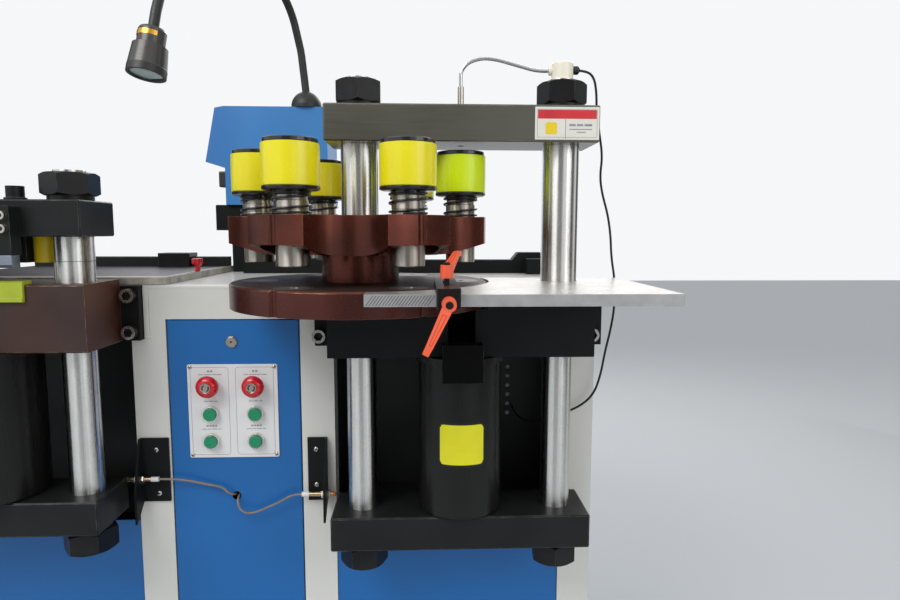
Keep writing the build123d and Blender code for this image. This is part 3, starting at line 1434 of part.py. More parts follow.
# Cables: each is a tube of straight runs with an arc at every corner
def cable(route, diameter, name):
    points = [Vector(*point) for point in route]
    radii = []
    for before, corner, after in zip(points, points[1:], points[2:]):
        run_in = corner - before
        run_out = after - corner
        turn = run_in.get_angle(run_out)
        shorter = min(run_in.length, run_out.length)
        radii.append(0.45 * shorter / math.tan(math.radians(turn / 2)))
    with BuildPart() as tube:
        with BuildLine() as path:
            FilletPolyline(*points, radius=radii)
        with BuildSketch(Plane(path.line @ 0, z_dir=path.line % 0)):
            Circle(diameter / 2)
        sweep(path=path.line)
    length = sum(edge.length for edge in path.edges())
    expected = math.pi * diameter ** 2 / 4 * length
    print(f"{name}: length {length:.0f} mm, volume ratio {tube.part.volume / expected:.4f}")
    print("  radii", " ".join(f"{radius:.0f}" for radius in radii))
    print("  runs", " ".join(f"{(b - a).length:.0f}" for a, b in zip(points, points[1:])))
    tube.part.label = name
    export_step(tube.part, f"parts/{name}.step")


plate_hole_z = table_z - cable_hole_drop
left_tail_x = left_tip_x + sensor_length
left_cable_route = [
    (left_tail_x, sensor_y, left_sensor_z),
    (left_tail_x + 24.0, sensor_y, left_sensor_z),
    (left_tail_x + 52.0, sensor_y + 2.0, left_sensor_z - 4.0),
    (left_tail_x + 82.0, sensor_y + 6.0, left_sensor_z - 13.0),
    (left_tail_x + 112.0, sensor_y + 6.0, left_sensor_z - 19.0),
    (plate_x - 12.0, sensor_y + 3.0, plate_hole_z + 9.0),
    (plate_x - 2.5, sensor_y + 12.0, plate_hole_z + 2.5),
    (plate_x - 3.0, front_y + 14.0, plate_hole_z),
]
cable(left_cable_route, cable_diameter, "sensor_cable_left")

right_cable_route = [
    (right_tip_x, sensor_y, right_sensor_z),
    (right_tip_x - 17.0, sensor_y, right_sensor_z),
    (right_tip_x - 40.0, sensor_y - 2.0, right_sensor_z - 13.0),
    (right_tip_x - 64.0, sensor_y - 1.0, right_sensor_z - 24.0),
    (right_tip_x - 84.0, sensor_y, right_sensor_z - 33.0),
    (plate_x + 21.0, sensor_y - 2.0, plate_hole_z - 28.0),
    (plate_x + 9.0, sensor_y - 1.0, plate_hole_z - 20.0),
    (plate_x + 4.0, sensor_y + 4.0, plate_hole_z - 8.0),
    (plate_x + 3.0, sensor_y + 14.0, plate_hole_z - 1.0),
    (plate_x + 3.0, front_y + 18.0, plate_hole_z),
]
cable(right_cable_route, cable_diameter, "sensor_cable_right")

# The pointer light's cable drops behind the beam and runs into the bay
pointer_exit_x = right_column_x + pointer_cap_diameter / 2
pointer_exit_z = table_z + 342.0
pointer_cable_route = [
    (pointer_exit_x, column_y, pointer_exit_z),
    (pointer_exit_x + 20.0, column_y, pointer_exit_z),
    (turret_x + 386.0, column_y + 14.0, table_z + 336.0),
    (turret_x + 398.0, column_y + 40.0, table_z + 316.0),
    (turret_x + 403.0, column_y + 56.0, table_z + 284.0),
    (turret_x + 411.0, column_y + 62.0, table_z + 250.0),
    (turret_x + 417.5, column_y + 64.0, table_z + 212.0),
    (turret_x + 414.5, column_y + 66.0, table_z + 178.0),
    (turret_x + 419.5, column_y + 67.0, table_z + 148.0),
    (turret_x + 431.0, column_y + 68.0, table_z + 112.0),
    (turret_x + 437.5, column_y + 69.0, table_z + 74.0),
    (turret_x + 440.0, column_y + 70.0, table_z + 36.0),
    (turret_x + 448.0, column_y + 71.0, table_z - 6.0),
    (turret_x + 449.0, column_y + 71.0, table_z - 52.0),
    (turret_x + 443.0, column_y + 70.0, table_z - 94.0),
    (turret_x + 432.0, column_y + 66.0, table_z - 136.0),
    (turret_x + 424.5, column_y + 62.0, table_z - 176.0),
    (turret_x + 413.0, column_y + 62.0, table_z - 212.0),
    (turret_x + 392.0, column_y + 66.0, table_z - 234.0),
    (turret_x + 364.0, column_y + 64.0, table_z - 246.0),
    (turret_x + 340.0, column_y + 80.0, table_z - 262.0),
    (turret_x + 317.0, column_y + 108.0, table_z - 278.0),
    (turret_x + 298.0, column_y + 140.0, table_z - 284.0),
    (turret_x + 288.0, column_y + 178.0, table_z - 282.0),
    (turret_x + 286.0, column_y + 222.0, table_z - 280.0),
    (turret_x + 286.0, liner_front + liner_depth - liner_wall, table_z - 280.0),
]
cable(pointer_cable_route, cable_diameter, "pointer_cable")
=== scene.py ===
import math
import bmesh
import bpy
from mathutils import Matrix, Vector


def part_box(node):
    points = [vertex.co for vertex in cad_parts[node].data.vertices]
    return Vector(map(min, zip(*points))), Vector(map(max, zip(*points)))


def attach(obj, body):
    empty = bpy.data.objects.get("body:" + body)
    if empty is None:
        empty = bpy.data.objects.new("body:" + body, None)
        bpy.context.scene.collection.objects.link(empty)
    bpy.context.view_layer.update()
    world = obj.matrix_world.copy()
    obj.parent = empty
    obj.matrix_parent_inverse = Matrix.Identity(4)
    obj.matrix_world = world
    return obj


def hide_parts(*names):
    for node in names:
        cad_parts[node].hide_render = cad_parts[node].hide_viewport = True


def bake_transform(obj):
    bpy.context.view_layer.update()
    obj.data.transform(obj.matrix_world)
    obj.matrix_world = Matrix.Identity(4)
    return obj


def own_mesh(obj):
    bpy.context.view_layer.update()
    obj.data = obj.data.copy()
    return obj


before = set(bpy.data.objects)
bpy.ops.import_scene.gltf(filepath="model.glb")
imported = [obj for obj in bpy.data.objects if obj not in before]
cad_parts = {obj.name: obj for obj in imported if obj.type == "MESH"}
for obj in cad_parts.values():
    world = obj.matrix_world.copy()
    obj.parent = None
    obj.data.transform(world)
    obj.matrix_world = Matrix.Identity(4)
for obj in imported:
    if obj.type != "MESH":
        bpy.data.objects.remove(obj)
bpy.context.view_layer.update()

# Every piece lies in the frame's own coordinates. The numbers here are in millimetres, and MM turns them into
# Blender's metres. Only the floor, the boards and the lamps are given in metres.
MM = 0.001


def corners_of(node):
    """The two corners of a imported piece's box, in mm."""
    return [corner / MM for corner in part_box(node)]


def middle_of(node):
    low, high = corners_of(node)
    return (low + high) / 2


table_z = corners_of("work_table")[1].z
punch_x = middle_of("top_beam").x
column_y = middle_of("top_beam").y
turret_x = middle_of("die_wheel").x


# Colours and materials
def tone(red, green, blue):
    """A colour as it shows on a screen, 0 to 255 a channel, as linear light."""
    channels = [c / 255 for c in (red, green, blue)]
    return tuple(c / 12.92 if c <= 0.04045 else ((c + 0.055) / 1.055) ** 2.4 for c in channels) + (1.0,)


def add_node(tree, kind, inputs=None, **settings):
    """A new node with its own settings and the values of its inputs."""
    made = tree.nodes.new(kind)
    for key, value in settings.items():
        setattr(made, key, value)
    for key, value in (inputs or {}).items():
        made.inputs[key].default_value = value
    return made


def mix_colors(tree, first, second, share, blend="MIX"):
    """The output of two colours mixed; each of the three is a value or another node's output."""
    made = add_node(tree, "ShaderNodeMix", data_type="RGBA", blend_type=blend)
    for key, value in (("A", first), ("B", second), ("Factor", share)):
        if isinstance(value, bpy.types.NodeSocket):
            tree.links.new(value, made.inputs[key])
        else:
            made.inputs[key].default_value = value
    return made.outputs["Result"]


def shader_of(material):
    return material.node_tree.nodes["Principled BSDF"]


def set_shader(material, values):
    for key, value in values.items():
        shader_of(material).inputs[key].default_value = value


def finish(name, color, roughness, metallic=0.0, mottle=(7.0, 0.06), grain=(350.0, 0.04), along=(1, 1, 1),
           spread=0.06, bevel=0.7, coat=0.0, wear=None, other=None, other_scale=3.0, specular=0.5):
    """A surface with colour variation, a grain that shows in roughness and bump, and softened edges.

    Colours are 0 to 255 a channel. mottle is (scale, share), grain is (scale, bump strength), along
    stretches the grain, bevel is in mm, wear is the colour that shows on edges, and other is a second colour
    that clouds over the first.
    """
    material = bpy.data.materials.new(name)
    material.use_nodes = True
    set_shader(material, {"Metallic": metallic, "Specular IOR Level": specular, "Coat Weight": coat,
                          "Coat Roughness": 0.12})
    shader = shader_of(material)
    tree = material.node_tree
    link = tree.links.new
    place = add_node(tree, "ShaderNodeTexCoord")

    def noise(scale, detail, stretch=(1, 1, 1)):
        mapping = add_node(tree, "ShaderNodeMapping", {"Scale": stretch})
        link(place.outputs["Object"], mapping.inputs["Vector"])
        texture = add_node(tree, "ShaderNodeTexNoise", {"Scale": scale, "Detail": detail})
        link(mapping.outputs["Vector"], texture.inputs["Vector"])
        return texture.outputs["Fac"]

    def ranged(value, low, high, start=0.3, end=0.7):
        made = add_node(tree, "ShaderNodeMapRange",
                        {"From Min": start, "From Max": end, "To Min": low, "To Max": high})
        link(value, made.inputs["Value"])
        return made.outputs["Result"]

    fine = noise(grain[0], 3.0, along)
    result = tone(*color)
    if other is not None:
        result = mix_colors(tree, result, tone(*other), ranged(noise(other_scale, 4.0), 0.0, 1.0, 0.42, 0.66))
    shade = ranged(noise(mottle[0], 5.0), 1 - mottle[1], 1 + mottle[1])
    result = mix_colors(tree, result, shade, 1.0, "MULTIPLY")
    rounded = add_node(tree, "ShaderNodeBevel", {"Radius": bevel * MM}, samples=4)
    if wear is not None:
        flat = add_node(tree, "ShaderNodeNewGeometry")
        dot = add_node(tree, "ShaderNodeVectorMath", operation="DOT_PRODUCT")
        link(rounded.outputs["Normal"], dot.inputs[0])
        link(flat.outputs["Normal"], dot.inputs[1])
        patch = add_node(tree, "ShaderNodeMath", operation="MULTIPLY")
        link(ranged(dot.outputs["Value"], 1.0, 0.0, 0.90, 0.985), patch.inputs[0])
        link(ranged(noise(60.0, 4.0), 0.15, 0.95, 0.42, 0.6), patch.inputs[1])
        result = mix_colors(tree, result, tone(*wear), patch.outputs["Value"])
    link(result, shader.inputs["Base Color"])
    link(ranged(fine, roughness - spread, roughness + spread), shader.inputs["Roughness"])
    bump = add_node(tree, "ShaderNodeBump", {"Strength": grain[1], "Distance": 0.5 * MM})
    link(fine, bump.inputs["Height"])
    link(rounded.outputs["Normal"], bump.inputs["Normal"])
    link(bump.outputs["Normal"], shader.inputs["Normal"])
    return material


along_x = (0.03, 1, 1)
along_z = (1, 1, 0.03)
round_z = (0.02, 0.02, 1)

white_paint = finish("white_paint", (226, 224, 217), 0.34, mottle=(2.5, 0.03), grain=(260, 0.03), coat=0.25,
                     wear=(150, 140, 120))
blue_paint = finish("blue_paint", (4, 103, 176), 0.4, mottle=(2.0, 0.09), grain=(260, 0.04), coat=0.1)
pale_blue = finish("pale_blue", (58, 130, 196), 0.4, mottle=(3.0, 0.08), grain=(260, 0.04), coat=0.1,
                   other=(38, 112, 184), other_scale=4.0)
beam_black = finish("beam_black", (98, 96, 87), 0.34, metallic=0.5, mottle=(9, 0.12), grain=(500, 0.03),
                    along=along_x, bevel=1.2, wear=(170, 168, 158))
plate_black = finish("plate_black", (31, 32, 32), 0.38, mottle=(11, 0.2), grain=(300, 0.08), bevel=1.2,
                     wear=(126, 122, 114), specular=0.2)
bed_black = finish("bed_black", (24, 25, 26), 0.5, mottle=(9, 0.15), grain=(500, 0.1), bevel=1.0,
                   specular=0.15)
bay_black = finish("bay_black", (24, 25, 27), 0.45, mottle=(5, 0.3), grain=(200, 0.05))
cylinder_black = finish("cylinder_black", (20, 20, 19), 0.3, mottle=(8, 0.2), grain=(300, 0.03),
                        along=along_z, specular=0.3)
brown_steel = finish("brown_steel", (62, 48, 46), 0.42, metallic=0.35, mottle=(16, 0.16), grain=(700, 0.16),
                     bevel=1.4, wear=(190, 166, 136), other=(74, 48, 40), other_scale=5.0)
rust_steel = finish("rust_steel", (96, 56, 40), 0.42, metallic=0.35, mottle=(16, 0.16), grain=(700, 0.16),
                    bevel=1.4, wear=(200, 176, 146), other=(74, 44, 34), other_scale=6.0)
bronze = finish("bronze", (108, 54, 41), 0.25, metallic=0.7, mottle=(12, 0.08), grain=(260, 0.003),
                spread=0.03, bevel=0.9, wear=(192, 120, 86), other=(70, 38, 30), other_scale=7.0)
dark_bronze = finish("dark_bronze", (92, 50, 43), 0.25, metallic=0.65, mottle=(10, 0.12), grain=(260, 0.003),
                     spread=0.03, bevel=1.2, wear=(182, 118, 84), other=(72, 46, 48), other_scale=6.0)
# Top of the die wheel: painted dark reflection, darker than its own bronze
painted_dark_reflection_top = finish("painted_dark_reflection_top", (54, 42, 39), 0.5, metallic=0.2, mottle=(12, 0.2), bevel=1.2,
                   wear=(182, 118, 84), specular=0.15)
chrome = finish("chrome", (222, 222, 219), 0.17, metallic=1.0, mottle=(30, 0.03), grain=(400, 0.001),
                along=along_z, spread=0.03)
turned_steel = finish("turned_steel", (186, 180, 170), 0.26, metallic=1.0, mottle=(30, 0.08),
                      grain=(400, 0.002), along=along_z, spread=0.04)
milled_steel = finish("milled_steel", (216, 211, 206), 0.3, metallic=0.7, mottle=(26, 0.07),
                      grain=(420, 0.03), along=along_x, bevel=0.8, wear=(236, 234, 228))
ground_edge = finish("ground_edge", (176, 176, 176), 0.4, metallic=0.4, mottle=(60, 0.1), grain=(420, 0.08),
                     bevel=0.8, wear=(226, 226, 222))
beam_ground = finish("beam_ground", (98, 96, 88), 0.17, metallic=0.8, mottle=(9, 0.1), grain=(500, 0.02),
                     along=along_x, spread=0.03, bevel=1.2, wear=(170, 168, 158))
chute_black = finish("chute_black", (11, 11, 12), 0.42, mottle=(9, 0.2), grain=(300, 0.08), bevel=1.2,
                     wear=(110, 108, 106), specular=0.08)
# A pale sheet behind the bay's holes: painted light showing through them
painted_hole_light = finish("painted_hole_light", (176, 177, 182), 0.5, mottle=(60, 0.15))
patch_yellow = finish("patch_yellow", (232, 226, 24), 0.4, mottle=(20, 0.05))
# Top faces of the dies: painted dark reflection, darker than their turned steel
painted_dark_reflection_die_top = finish("painted_dark_reflection_die_top", (98, 90, 86), 0.42, metallic=0.5, mottle=(40, 0.15), specular=0.2)
feed_steel = finish("feed_steel", (74, 71, 75), 0.36, metallic=0.6, mottle=(18, 0.14), grain=(420, 0.06),
                    along=(1, 0.04, 1), bevel=1.4, wear=(206, 202, 192))
feed_edge = finish("feed_edge", (206, 202, 190), 0.4, metallic=0.2, mottle=(26, 0.16), grain=(420, 0.08),
                   along=along_x, bevel=1.4, wear=(228, 224, 212), other=(164, 158, 146), other_scale=40.0)
milled_dark = finish("milled_dark", (106, 106, 110), 0.4, metallic=0.5, mottle=(120, 0.25))
blade_green = finish("blade_green", (172, 186, 44), 0.38, mottle=(14, 0.12), grain=(600, 0.08), along=along_x,
                     bevel=1.0, wear=(208, 206, 150), coat=0.15)
band_yellow = finish("band_yellow", (238, 206, 30), 0.36, mottle=(20, 0.05))
black_oxide = finish("black_oxide", (34, 34, 35), 0.34, metallic=0.4, mottle=(24, 0.3), grain=(600, 0.1),
                     bevel=1.2, wear=(96, 92, 84), specular=0.3)
blade_steel = finish("blade_steel", (146, 156, 168), 0.25, metallic=0.9, mottle=(20, 0.12), grain=(600, 0.08),
                     along=along_x, wear=(200, 204, 206))
yellow_urethane = finish("yellow_urethane", (240, 226, 14), 0.3, mottle=(20, 0.03), grain=(200, 0.002),
                         spread=0.03, coat=0.2)
lime_urethane = finish("lime_urethane", (214, 236, 0), 0.3, mottle=(20, 0.03), grain=(200, 0.002),
                       spread=0.03, coat=0.2)
gloss_black = finish("gloss_black", (28, 28, 30), 0.2, mottle=(20, 0.1), coat=0.3)
lever_orange = finish("lever_orange", (246, 100, 62), 0.42, mottle=(30, 0.05), grain=(700, 0.12), bevel=0.8)
# Darker orange for the levers' grooves: painted shade
painted_groove_shade = finish("painted_groove_shade", (214, 66, 34), 0.5, mottle=(40, 0.1))
signal_red = finish("signal_red", (204, 20, 34), 0.22, mottle=(30, 0.04), coat=0.4)
signal_green = finish("signal_green", (4, 140, 96), 0.3, mottle=(30, 0.05), coat=0.3)
panel_white = finish("panel_white", (233, 231, 230), 0.34, mottle=(5, 0.02), grain=(600, 0.02))
sign_white = finish("sign_white", (226, 224, 212), 0.4, mottle=(30, 0.03), grain=(600, 0.02))
print_grey = finish("print_grey", (150, 146, 156), 0.4, mottle=(90, 0.2))
print_red = finish("print_red", (206, 44, 52), 0.4, mottle=(40, 0.1))
nickel = finish("nickel", (196, 190, 178), 0.24, metallic=1.0, mottle=(40, 0.1), grain=(900, 0.08))
brass = finish("brass", (214, 160, 72), 0.28, metallic=0.9, mottle=(40, 0.12))
thread_brass = finish("thread_brass", (196, 172, 132), 0.3, metallic=0.95, mottle=(60, 0.12),
                      grain=(900, 0.25), along=(1, 0.05, 0.05))
sensor_orange = finish("sensor_orange", (236, 122, 34), 0.4)
lamp_metal = finish("lamp_metal", (70, 69, 66), 0.36, metallic=0.5, mottle=(14, 0.12), grain=(700, 0.08),
                    along=round_z, coat=0.2)
neck_black = finish("neck_black", (34, 34, 33), 0.45, mottle=(20, 0.15))
lens_glass = finish("lens_glass", (150, 174, 170), 0.3, mottle=(60, 0.1), coat=0.6)
cream_plastic = finish("cream_plastic", (246, 240, 220), 0.35, mottle=(30, 0.04), coat=0.2)
tube_steel = finish("tube_steel", (206, 208, 206), 0.16, metallic=1.0, mottle=(40, 0.06), grain=(1200, 0.05))
cable_grey = finish("cable_grey", (138, 122, 112), 0.5, mottle=(60, 0.15))
cable_black = finish("cable_black", (20, 20, 22), 0.45, mottle=(60, 0.2))
tank_grey = finish("tank_grey", (92, 98, 102), 0.4, mottle=(8, 0.1))
screw_steel = finish("screw_steel", (188, 186, 180), 0.26, metallic=1.0, mottle=(80, 0.15))
# Near black: painted shade inside sockets, recesses and the keyhole, and print for the stop arrows and a
# label's border
shade_and_print_black = finish("shade_and_print_black", (8, 8, 9), 0.6, mottle=(30, 0.1))

# Ground steel: the polish runs round a shaft, so a reflection is drawn out along it
for material, roughness in ((chrome, 0.27), (turned_steel, 0.36)):
    set_shader(material, {"Anisotropic": 0.94})
    tangent = add_node(material.node_tree, "ShaderNodeCombineXYZ", {"X": 0.03, "Y": 0.02, "Z": 1.0})
    material.node_tree.links.new(tangent.outputs["Vector"], shader_of(material).inputs["Tangent"])
    polish = shader_of(material).inputs["Roughness"].links[0].from_node
    polish.inputs["To Min"].default_value = roughness - 0.02
    polish.inputs["To Max"].default_value = roughness + 0.02

# Urethane: light goes a little way into it
for material in (yellow_urethane, lime_urethane):
    set_shader(material, {"Subsurface Weight": 0.35, "Subsurface Radius": (0.02, 0.02, 0.006),
                          "Subsurface Scale": 0.5})


def edge_band(material, color, front, right):
    """A worn band of another colour on a table: before front and beyond right, in metres."""
    ragged_reach = 0.016
    fade_start, fade_end = 0.002, 0.014
    tree = material.node_tree
    link = tree.links.new
    base = shader_of(material).inputs["Base Color"]
    split = add_node(tree, "ShaderNodeSeparateXYZ")
    link(add_node(tree, "ShaderNodeTexCoord").outputs["Object"], split.inputs["Vector"])
    ragged = add_node(tree, "ShaderNodeTexNoise", {"Scale": 60.0})
    either = add_node(tree, "ShaderNodeMath", operation="MAXIMUM")
    for index, (axis, limit, low, high) in enumerate((("Y", front, 1.0, 0.0), ("X", right, 0.0, 1.0))):
        moved = add_node(tree, "ShaderNodeMath", {1: ragged_reach}, operation="MULTIPLY_ADD")
        link(ragged.outputs["Fac"], moved.inputs[0])
        link(split.outputs[axis], moved.inputs[2])
        fade = add_node(tree, "ShaderNodeMapRange",
                        {"From Min": limit + fade_start, "From Max": limit + fade_end,
                         "To Min": low, "To Max": high}, interpolation_type="SMOOTHSTEP")
        link(moved.outputs["Value"], fade.inputs["Value"])
        link(fade.outputs["Result"], either.inputs[index])
    link(mix_colors(tree, base.links[0].from_socket, color, either.outputs["Value"]), base)


feed_low, feed_high = corners_of("feed_table")
worn_front, worn_right = 30.0, 13.0
edge_band(feed_steel, tone(190, 186, 178), (feed_low.y + worn_front) * MM, (feed_high.x - worn_right) * MM)


# Mesh helpers
def smooth(mesh, angle=30.0):
    for face in mesh.polygons:
        face.use_smooth = True
    mesh.set_sharp_from_angle(angle=math.radians(angle))


def add_object(name, data):
    made = bpy.data.objects.new(name, data)
    bpy.context.scene.collection.objects.link(made)
    return made


def mesh_object(name, build, material, angle):
    """An object made of a bmesh, with the edges sharp that turn by more than angle."""
    mesh = bpy.data.meshes.new(name)
    build.to_mesh(mesh)
    build.free()
    mesh.materials.append(material)
    smooth(mesh, angle)
    return add_object(name, mesh)


def piece(name, build, material, body, bevel=0.0, angle=30.0):
    """A mesh object from a bmesh, riding on a body, with its edges rounded by bevel mm."""
    made = mesh_object(name, build, material, angle)
    if bevel:
        modifier = made.modifiers.new("bevel", "BEVEL")
        modifier.width = bevel * MM
        modifier.segments = 3
        modifier.limit_method = "ANGLE"
        modifier.angle_limit = math.radians(28)
        modifier.harden_normals = True
    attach(made, body)
    return made


def circle(radius, count):
    """Points round a circle, (x, y) in mm."""
    angles = [2 * math.pi * k / count for k in range(count)]
    return [(radius * math.cos(angle), radius * math.sin(angle)) for angle in angles]


def loop_at(build, outline, place, height=0.0):
    """Adds the vertices of an outline, (x, y) in mm, at a height in mm along the place's local Z."""
    return [build.verts.new(place @ (Vector((x, y, height)) * MM)) for x, y in outline]


def skin(build, low, high):
    """Adds the faces between two closed loops with as many vertices, or between a loop and one vertex."""
    count = max(len(low), len(high))
    for k in range(count):
        after = (k + 1) % count
        corners = (low[k % len(low)], low[after % len(low)], high[after % len(high)], high[k % len(high)])
        unique = list(dict.fromkeys(corners))
        if len(unique) > 2:
            build.faces.new(unique)


def turned(name, profile, place, material, body, segments=72, angle=30.0):
    """A turned piece: profile is (radius, height) in mm along the local Z of place."""
    build = bmesh.new()
    rings = [loop_at(build, circle(radius, segments) if radius else [(0, 0)], place, height)
             for radius, height in profile]
    for low, high in zip(rings, rings[1:]):
        skin(build, low, high)
    bmesh.ops.recalc_face_normals(build, faces=build.faces)
    return piece(name, build, material, body, angle=angle)


def turn_about(axis, degrees):
    return Matrix.Rotation(math.radians(degrees), 4, axis)


def at(x, y, z):
    """A place given in mm."""
    return Matrix.Translation(Vector((x, y, z)) * MM)


def upright(x, y, z, turn=0.0):
    return at(x, y, z) @ turn_about("Z", turn)


def facing(x, y, z, turn=0.0):
    """A place, given in mm, whose local Z points at the front, towards -Y."""
    return at(x, y, z) @ turn_about("X", 90) @ turn_about("Z", turn)


def prism(build, outline, place, depth):
    """Adds an outline, (x, y) in mm in the place's plane, drawn out by depth mm along its local Z."""
    bottom = loop_at(build, outline, place)
    top = loop_at(build, outline, place, depth)
    build.faces.new(bottom[::-1])
    build.faces.new(top)
    skin(build, bottom, top)


def ring_of(build, outer, inner, place, depth):
    """Adds a flat frame between two outlines with as many points."""
    outer_low, outer_high, inner_low, inner_high = [loop_at(build, outline, place, height)
                                                    for outline in (outer, inner) for height in (0, depth)]
    for low, high in ((outer_low, outer_high), (inner_high, inner_low), (outer_high, inner_high),
                      (inner_low, outer_low)):
        skin(build, low, high)


def rounded_outline(width, height, radius, steps=6):
    points = []
    for quarter, (side, level) in enumerate(((1, 1), (-1, 1), (-1, -1), (1, -1))):
        centre = (side * (width / 2 - radius), level * (height / 2 - radius))
        for step in range(steps + 1):
            turn = math.radians(90 * quarter + 90 * step / steps)
            points.append((centre[0] + radius * math.cos(turn), centre[1] + radius * math.sin(turn)))
    return points


def arc_band(radius, inner, start, end, steps=14):
    """The outline of a flat arc between two angles in degrees."""
    angles = [math.radians(start + (end - start) * k / steps) for k in range(steps + 1)]
    outer = [(radius * math.cos(angle), radius * math.sin(angle)) for angle in angles]
    return outer + [(x * inner / radius, y * inner / radius) for x, y in reversed(outer)]


def slab(build, low, high):
    """Adds a box between two corners in mm."""
    corners = [build.verts.new(Vector((x, y, z)) * MM) for z in (low[2], high[2])
               for x, y in ((low[0], low[1]), (high[0], low[1]), (high[0], high[1]), (low[0], high[1]))]
    for face in ((3, 2, 1, 0), (4, 5, 6, 7), (0, 1, 5, 4), (1, 2, 6, 5), (2, 3, 7, 6), (3, 0, 4, 7)):
        build.faces.new([corners[k] for k in face])


def slab_piece(name, low, high, material, body, bevel):
    build = bmesh.new()
    slab(build, low, high)
    return piece(name, build, material, body, bevel=bevel)


def bent_patch(name, axis, radius, half_angle, low, high, corner, material, body, steps=24):
    """A thin patch on a cylinder, with rounded corners; axis is the cylinder's, and the patch faces -Y."""
    build = bmesh.new()
    half_width = radius * math.radians(half_angle)
    half_height = (high - low) / 2
    columns = []
    for k in range(steps + 1):
        run = half_width * (2 * k / steps - 1)
        over = max(0.0, abs(run) - (half_width - corner))
        reach = half_height - corner + math.sqrt(max(0.0, corner * corner - over * over))
        x = axis[0] + radius * math.sin(run / radius)
        y = axis[1] - radius * math.cos(run / radius)
        columns.append([build.verts.new(Vector((x, y, (low + high) / 2 + level * reach)) * MM)
                        for level in (-1, 1)])
    for left, after in zip(columns, columns[1:]):
        build.faces.new((left[0], after[0], after[1], left[1]))
    return piece(name, build, material, body)


def socket_screw(name, place, head, height, body):
    """A round black screw head with a hexagon socket, whose inside is painted shade."""
    radius = head / 2
    socket = radius * 0.52
    turned(name, [(radius, 0), (radius, height * 0.82), (radius * 0.88, height), (socket, height)], place,
           black_oxide, body, segments=36)
    build = bmesh.new()
    rim = loop_at(build, circle(socket * 1.02, 6), place, height)
    low = loop_at(build, circle(socket, 6), place, height * 0.4)
    skin(build, rim, low)
    build.faces.new(low)
    piece(name + "_socket", build, shade_and_print_black, body)


def cross_screw(name, place, head, body, material):
    """A low domed screw head with a cross recess, drawn as a thin near-black cross of painted shade."""
    radius = head / 2
    turned(name, [(radius, 0), (radius * 0.97, radius * 0.2), (radius * 0.75, radius * 0.42),
                  (radius * 0.4, radius * 0.54), (0, radius * 0.58)], place, material, body, segments=28,
           angle=60)
    build = bmesh.new()
    lift = place @ at(0, 0, radius * 0.5)
    for half_length, half_width in ((radius * 0.475, radius * 0.1), (radius * 0.1, radius * 0.475)):
        prism(build, [(-half_length, -half_width), (half_length, -half_width), (half_length, half_width),
                      (-half_length, half_width)], lift, radius * 0.1)
    piece(name + "_cross", build, shade_and_print_black, body)


def route_line(name, points, fineness=12):
    """Points read from the smooth line of a route: a spline with the route's points, in mm, as controls."""
    curve = bpy.data.curves.new(name, "CURVE")
    curve.dimensions = "3D"
    curve.resolution_u = fineness
    spline = curve.splines.new("NURBS")
    spline.points.add(len(points) - 1)
    for control, point in zip(spline.points, points):
        control.co = [c * MM for c in point] + [1.0]
    spline.order_u = 3
    spline.use_endpoint_u = True
    holder = add_object(name, curve)
    bpy.context.view_layer.update()
    mesh = bpy.data.meshes.new_from_object(holder)
    line = [vertex.co.copy() for vertex in mesh.vertices]
    bpy.data.objects.remove(holder)
    bpy.data.meshes.remove(mesh)
    return line


def hose(name, points, radius, material, segments=12):
    """A mesh tube along points in metres, with its radius in mm."""
    build = bmesh.new()
    side = None
    rings = []
    for k, point in enumerate(points):
        ahead = points[min(k + 1, len(points) - 1)] - points[max(k - 1, 0)]
        ahead.normalize()
        if side is None:
            side = ahead.orthogonal().normalized()
        side = (side - ahead * side.dot(ahead)).normalized()
        across = ahead.cross(side)
        rings.append([build.verts.new(point + (side * x + across * y) * MM)
                      for x, y in circle(radius, segments)])
    for low, high in zip(rings, rings[1:]):
        skin(build, low, high)
    build.faces.new(rings[0][::-1])
    build.faces.new(rings[-1])
    bmesh.ops.recalc_face_normals(build, faces=build.faces)
    return mesh_object(name, build, material, 50)


# Camera at the photograph's place, in front of the turret and a little above the table
camera_place = Vector((332.1, -1446.7, 1030.9)) * MM
camera_yaw = math.radians(2.31)
camera_pitch = math.radians(-6.10)
camera_roll = math.radians(0.10)
camera = add_object("camera", bpy.data.cameras.new("camera"))
camera.data.lens = 25.61
camera.data.sensor_width = 36.0
camera.data.clip_end = 50.0
ahead = Vector((math.sin(camera_yaw) * math.cos(camera_pitch),
                math.cos(camera_yaw) * math.cos(camera_pitch), math.sin(camera_pitch)))
level = Vector((math.cos(camera_yaw), -math.sin(camera_yaw), 0))
above = level.cross(ahead)
right = level * math.cos(camera_roll) + above * math.sin(camera_roll)
turned_axes = Matrix((right, right.cross(ahead), -ahead)).transposed()
camera.matrix_world = Matrix.Translation(camera_place) @ turned_axes.to_4x4()
bpy.context.scene.camera = camera

# Floor, world and lamps
bpy.context.scene.view_settings.view_transform = "Standard"


def stage_material(name, color):
    """A matt stage surface with a slightly uneven gloss."""
    material = bpy.data.materials.new(name)
    material.use_nodes = True
    set_shader(material, {"Base Color": color, "Roughness": 0.75})
    tree = material.node_tree
    grain = add_node(tree, "ShaderNodeTexNoise", {"Scale": 2.0})
    ramp = add_node(tree, "ShaderNodeMapRange", {"To Min": 0.7, "To Max": 0.8})
    tree.links.new(grain.outputs["Fac"], ramp.inputs["Value"])
    tree.links.new(ramp.outputs["Result"], shader_of(material).inputs["Roughness"])
    return material


def stage_card(name, corners, material):
    mesh = bpy.data.meshes.new(name)
    mesh.from_pydata([tuple(c) for c in corners], [], [(0, 1, 2, 3)])
    mesh.materials.append(material)
    made = add_object(name, mesh)
    return made


floor_size = 12.0
stage_card("floor", [(-floor_size, -floor_size, 0), (floor_size, -floor_size, 0), (floor_size, floor_size, 0),
                     (-floor_size, floor_size, 0)], stage_material("floor_paint", tone(205, 207, 208)))

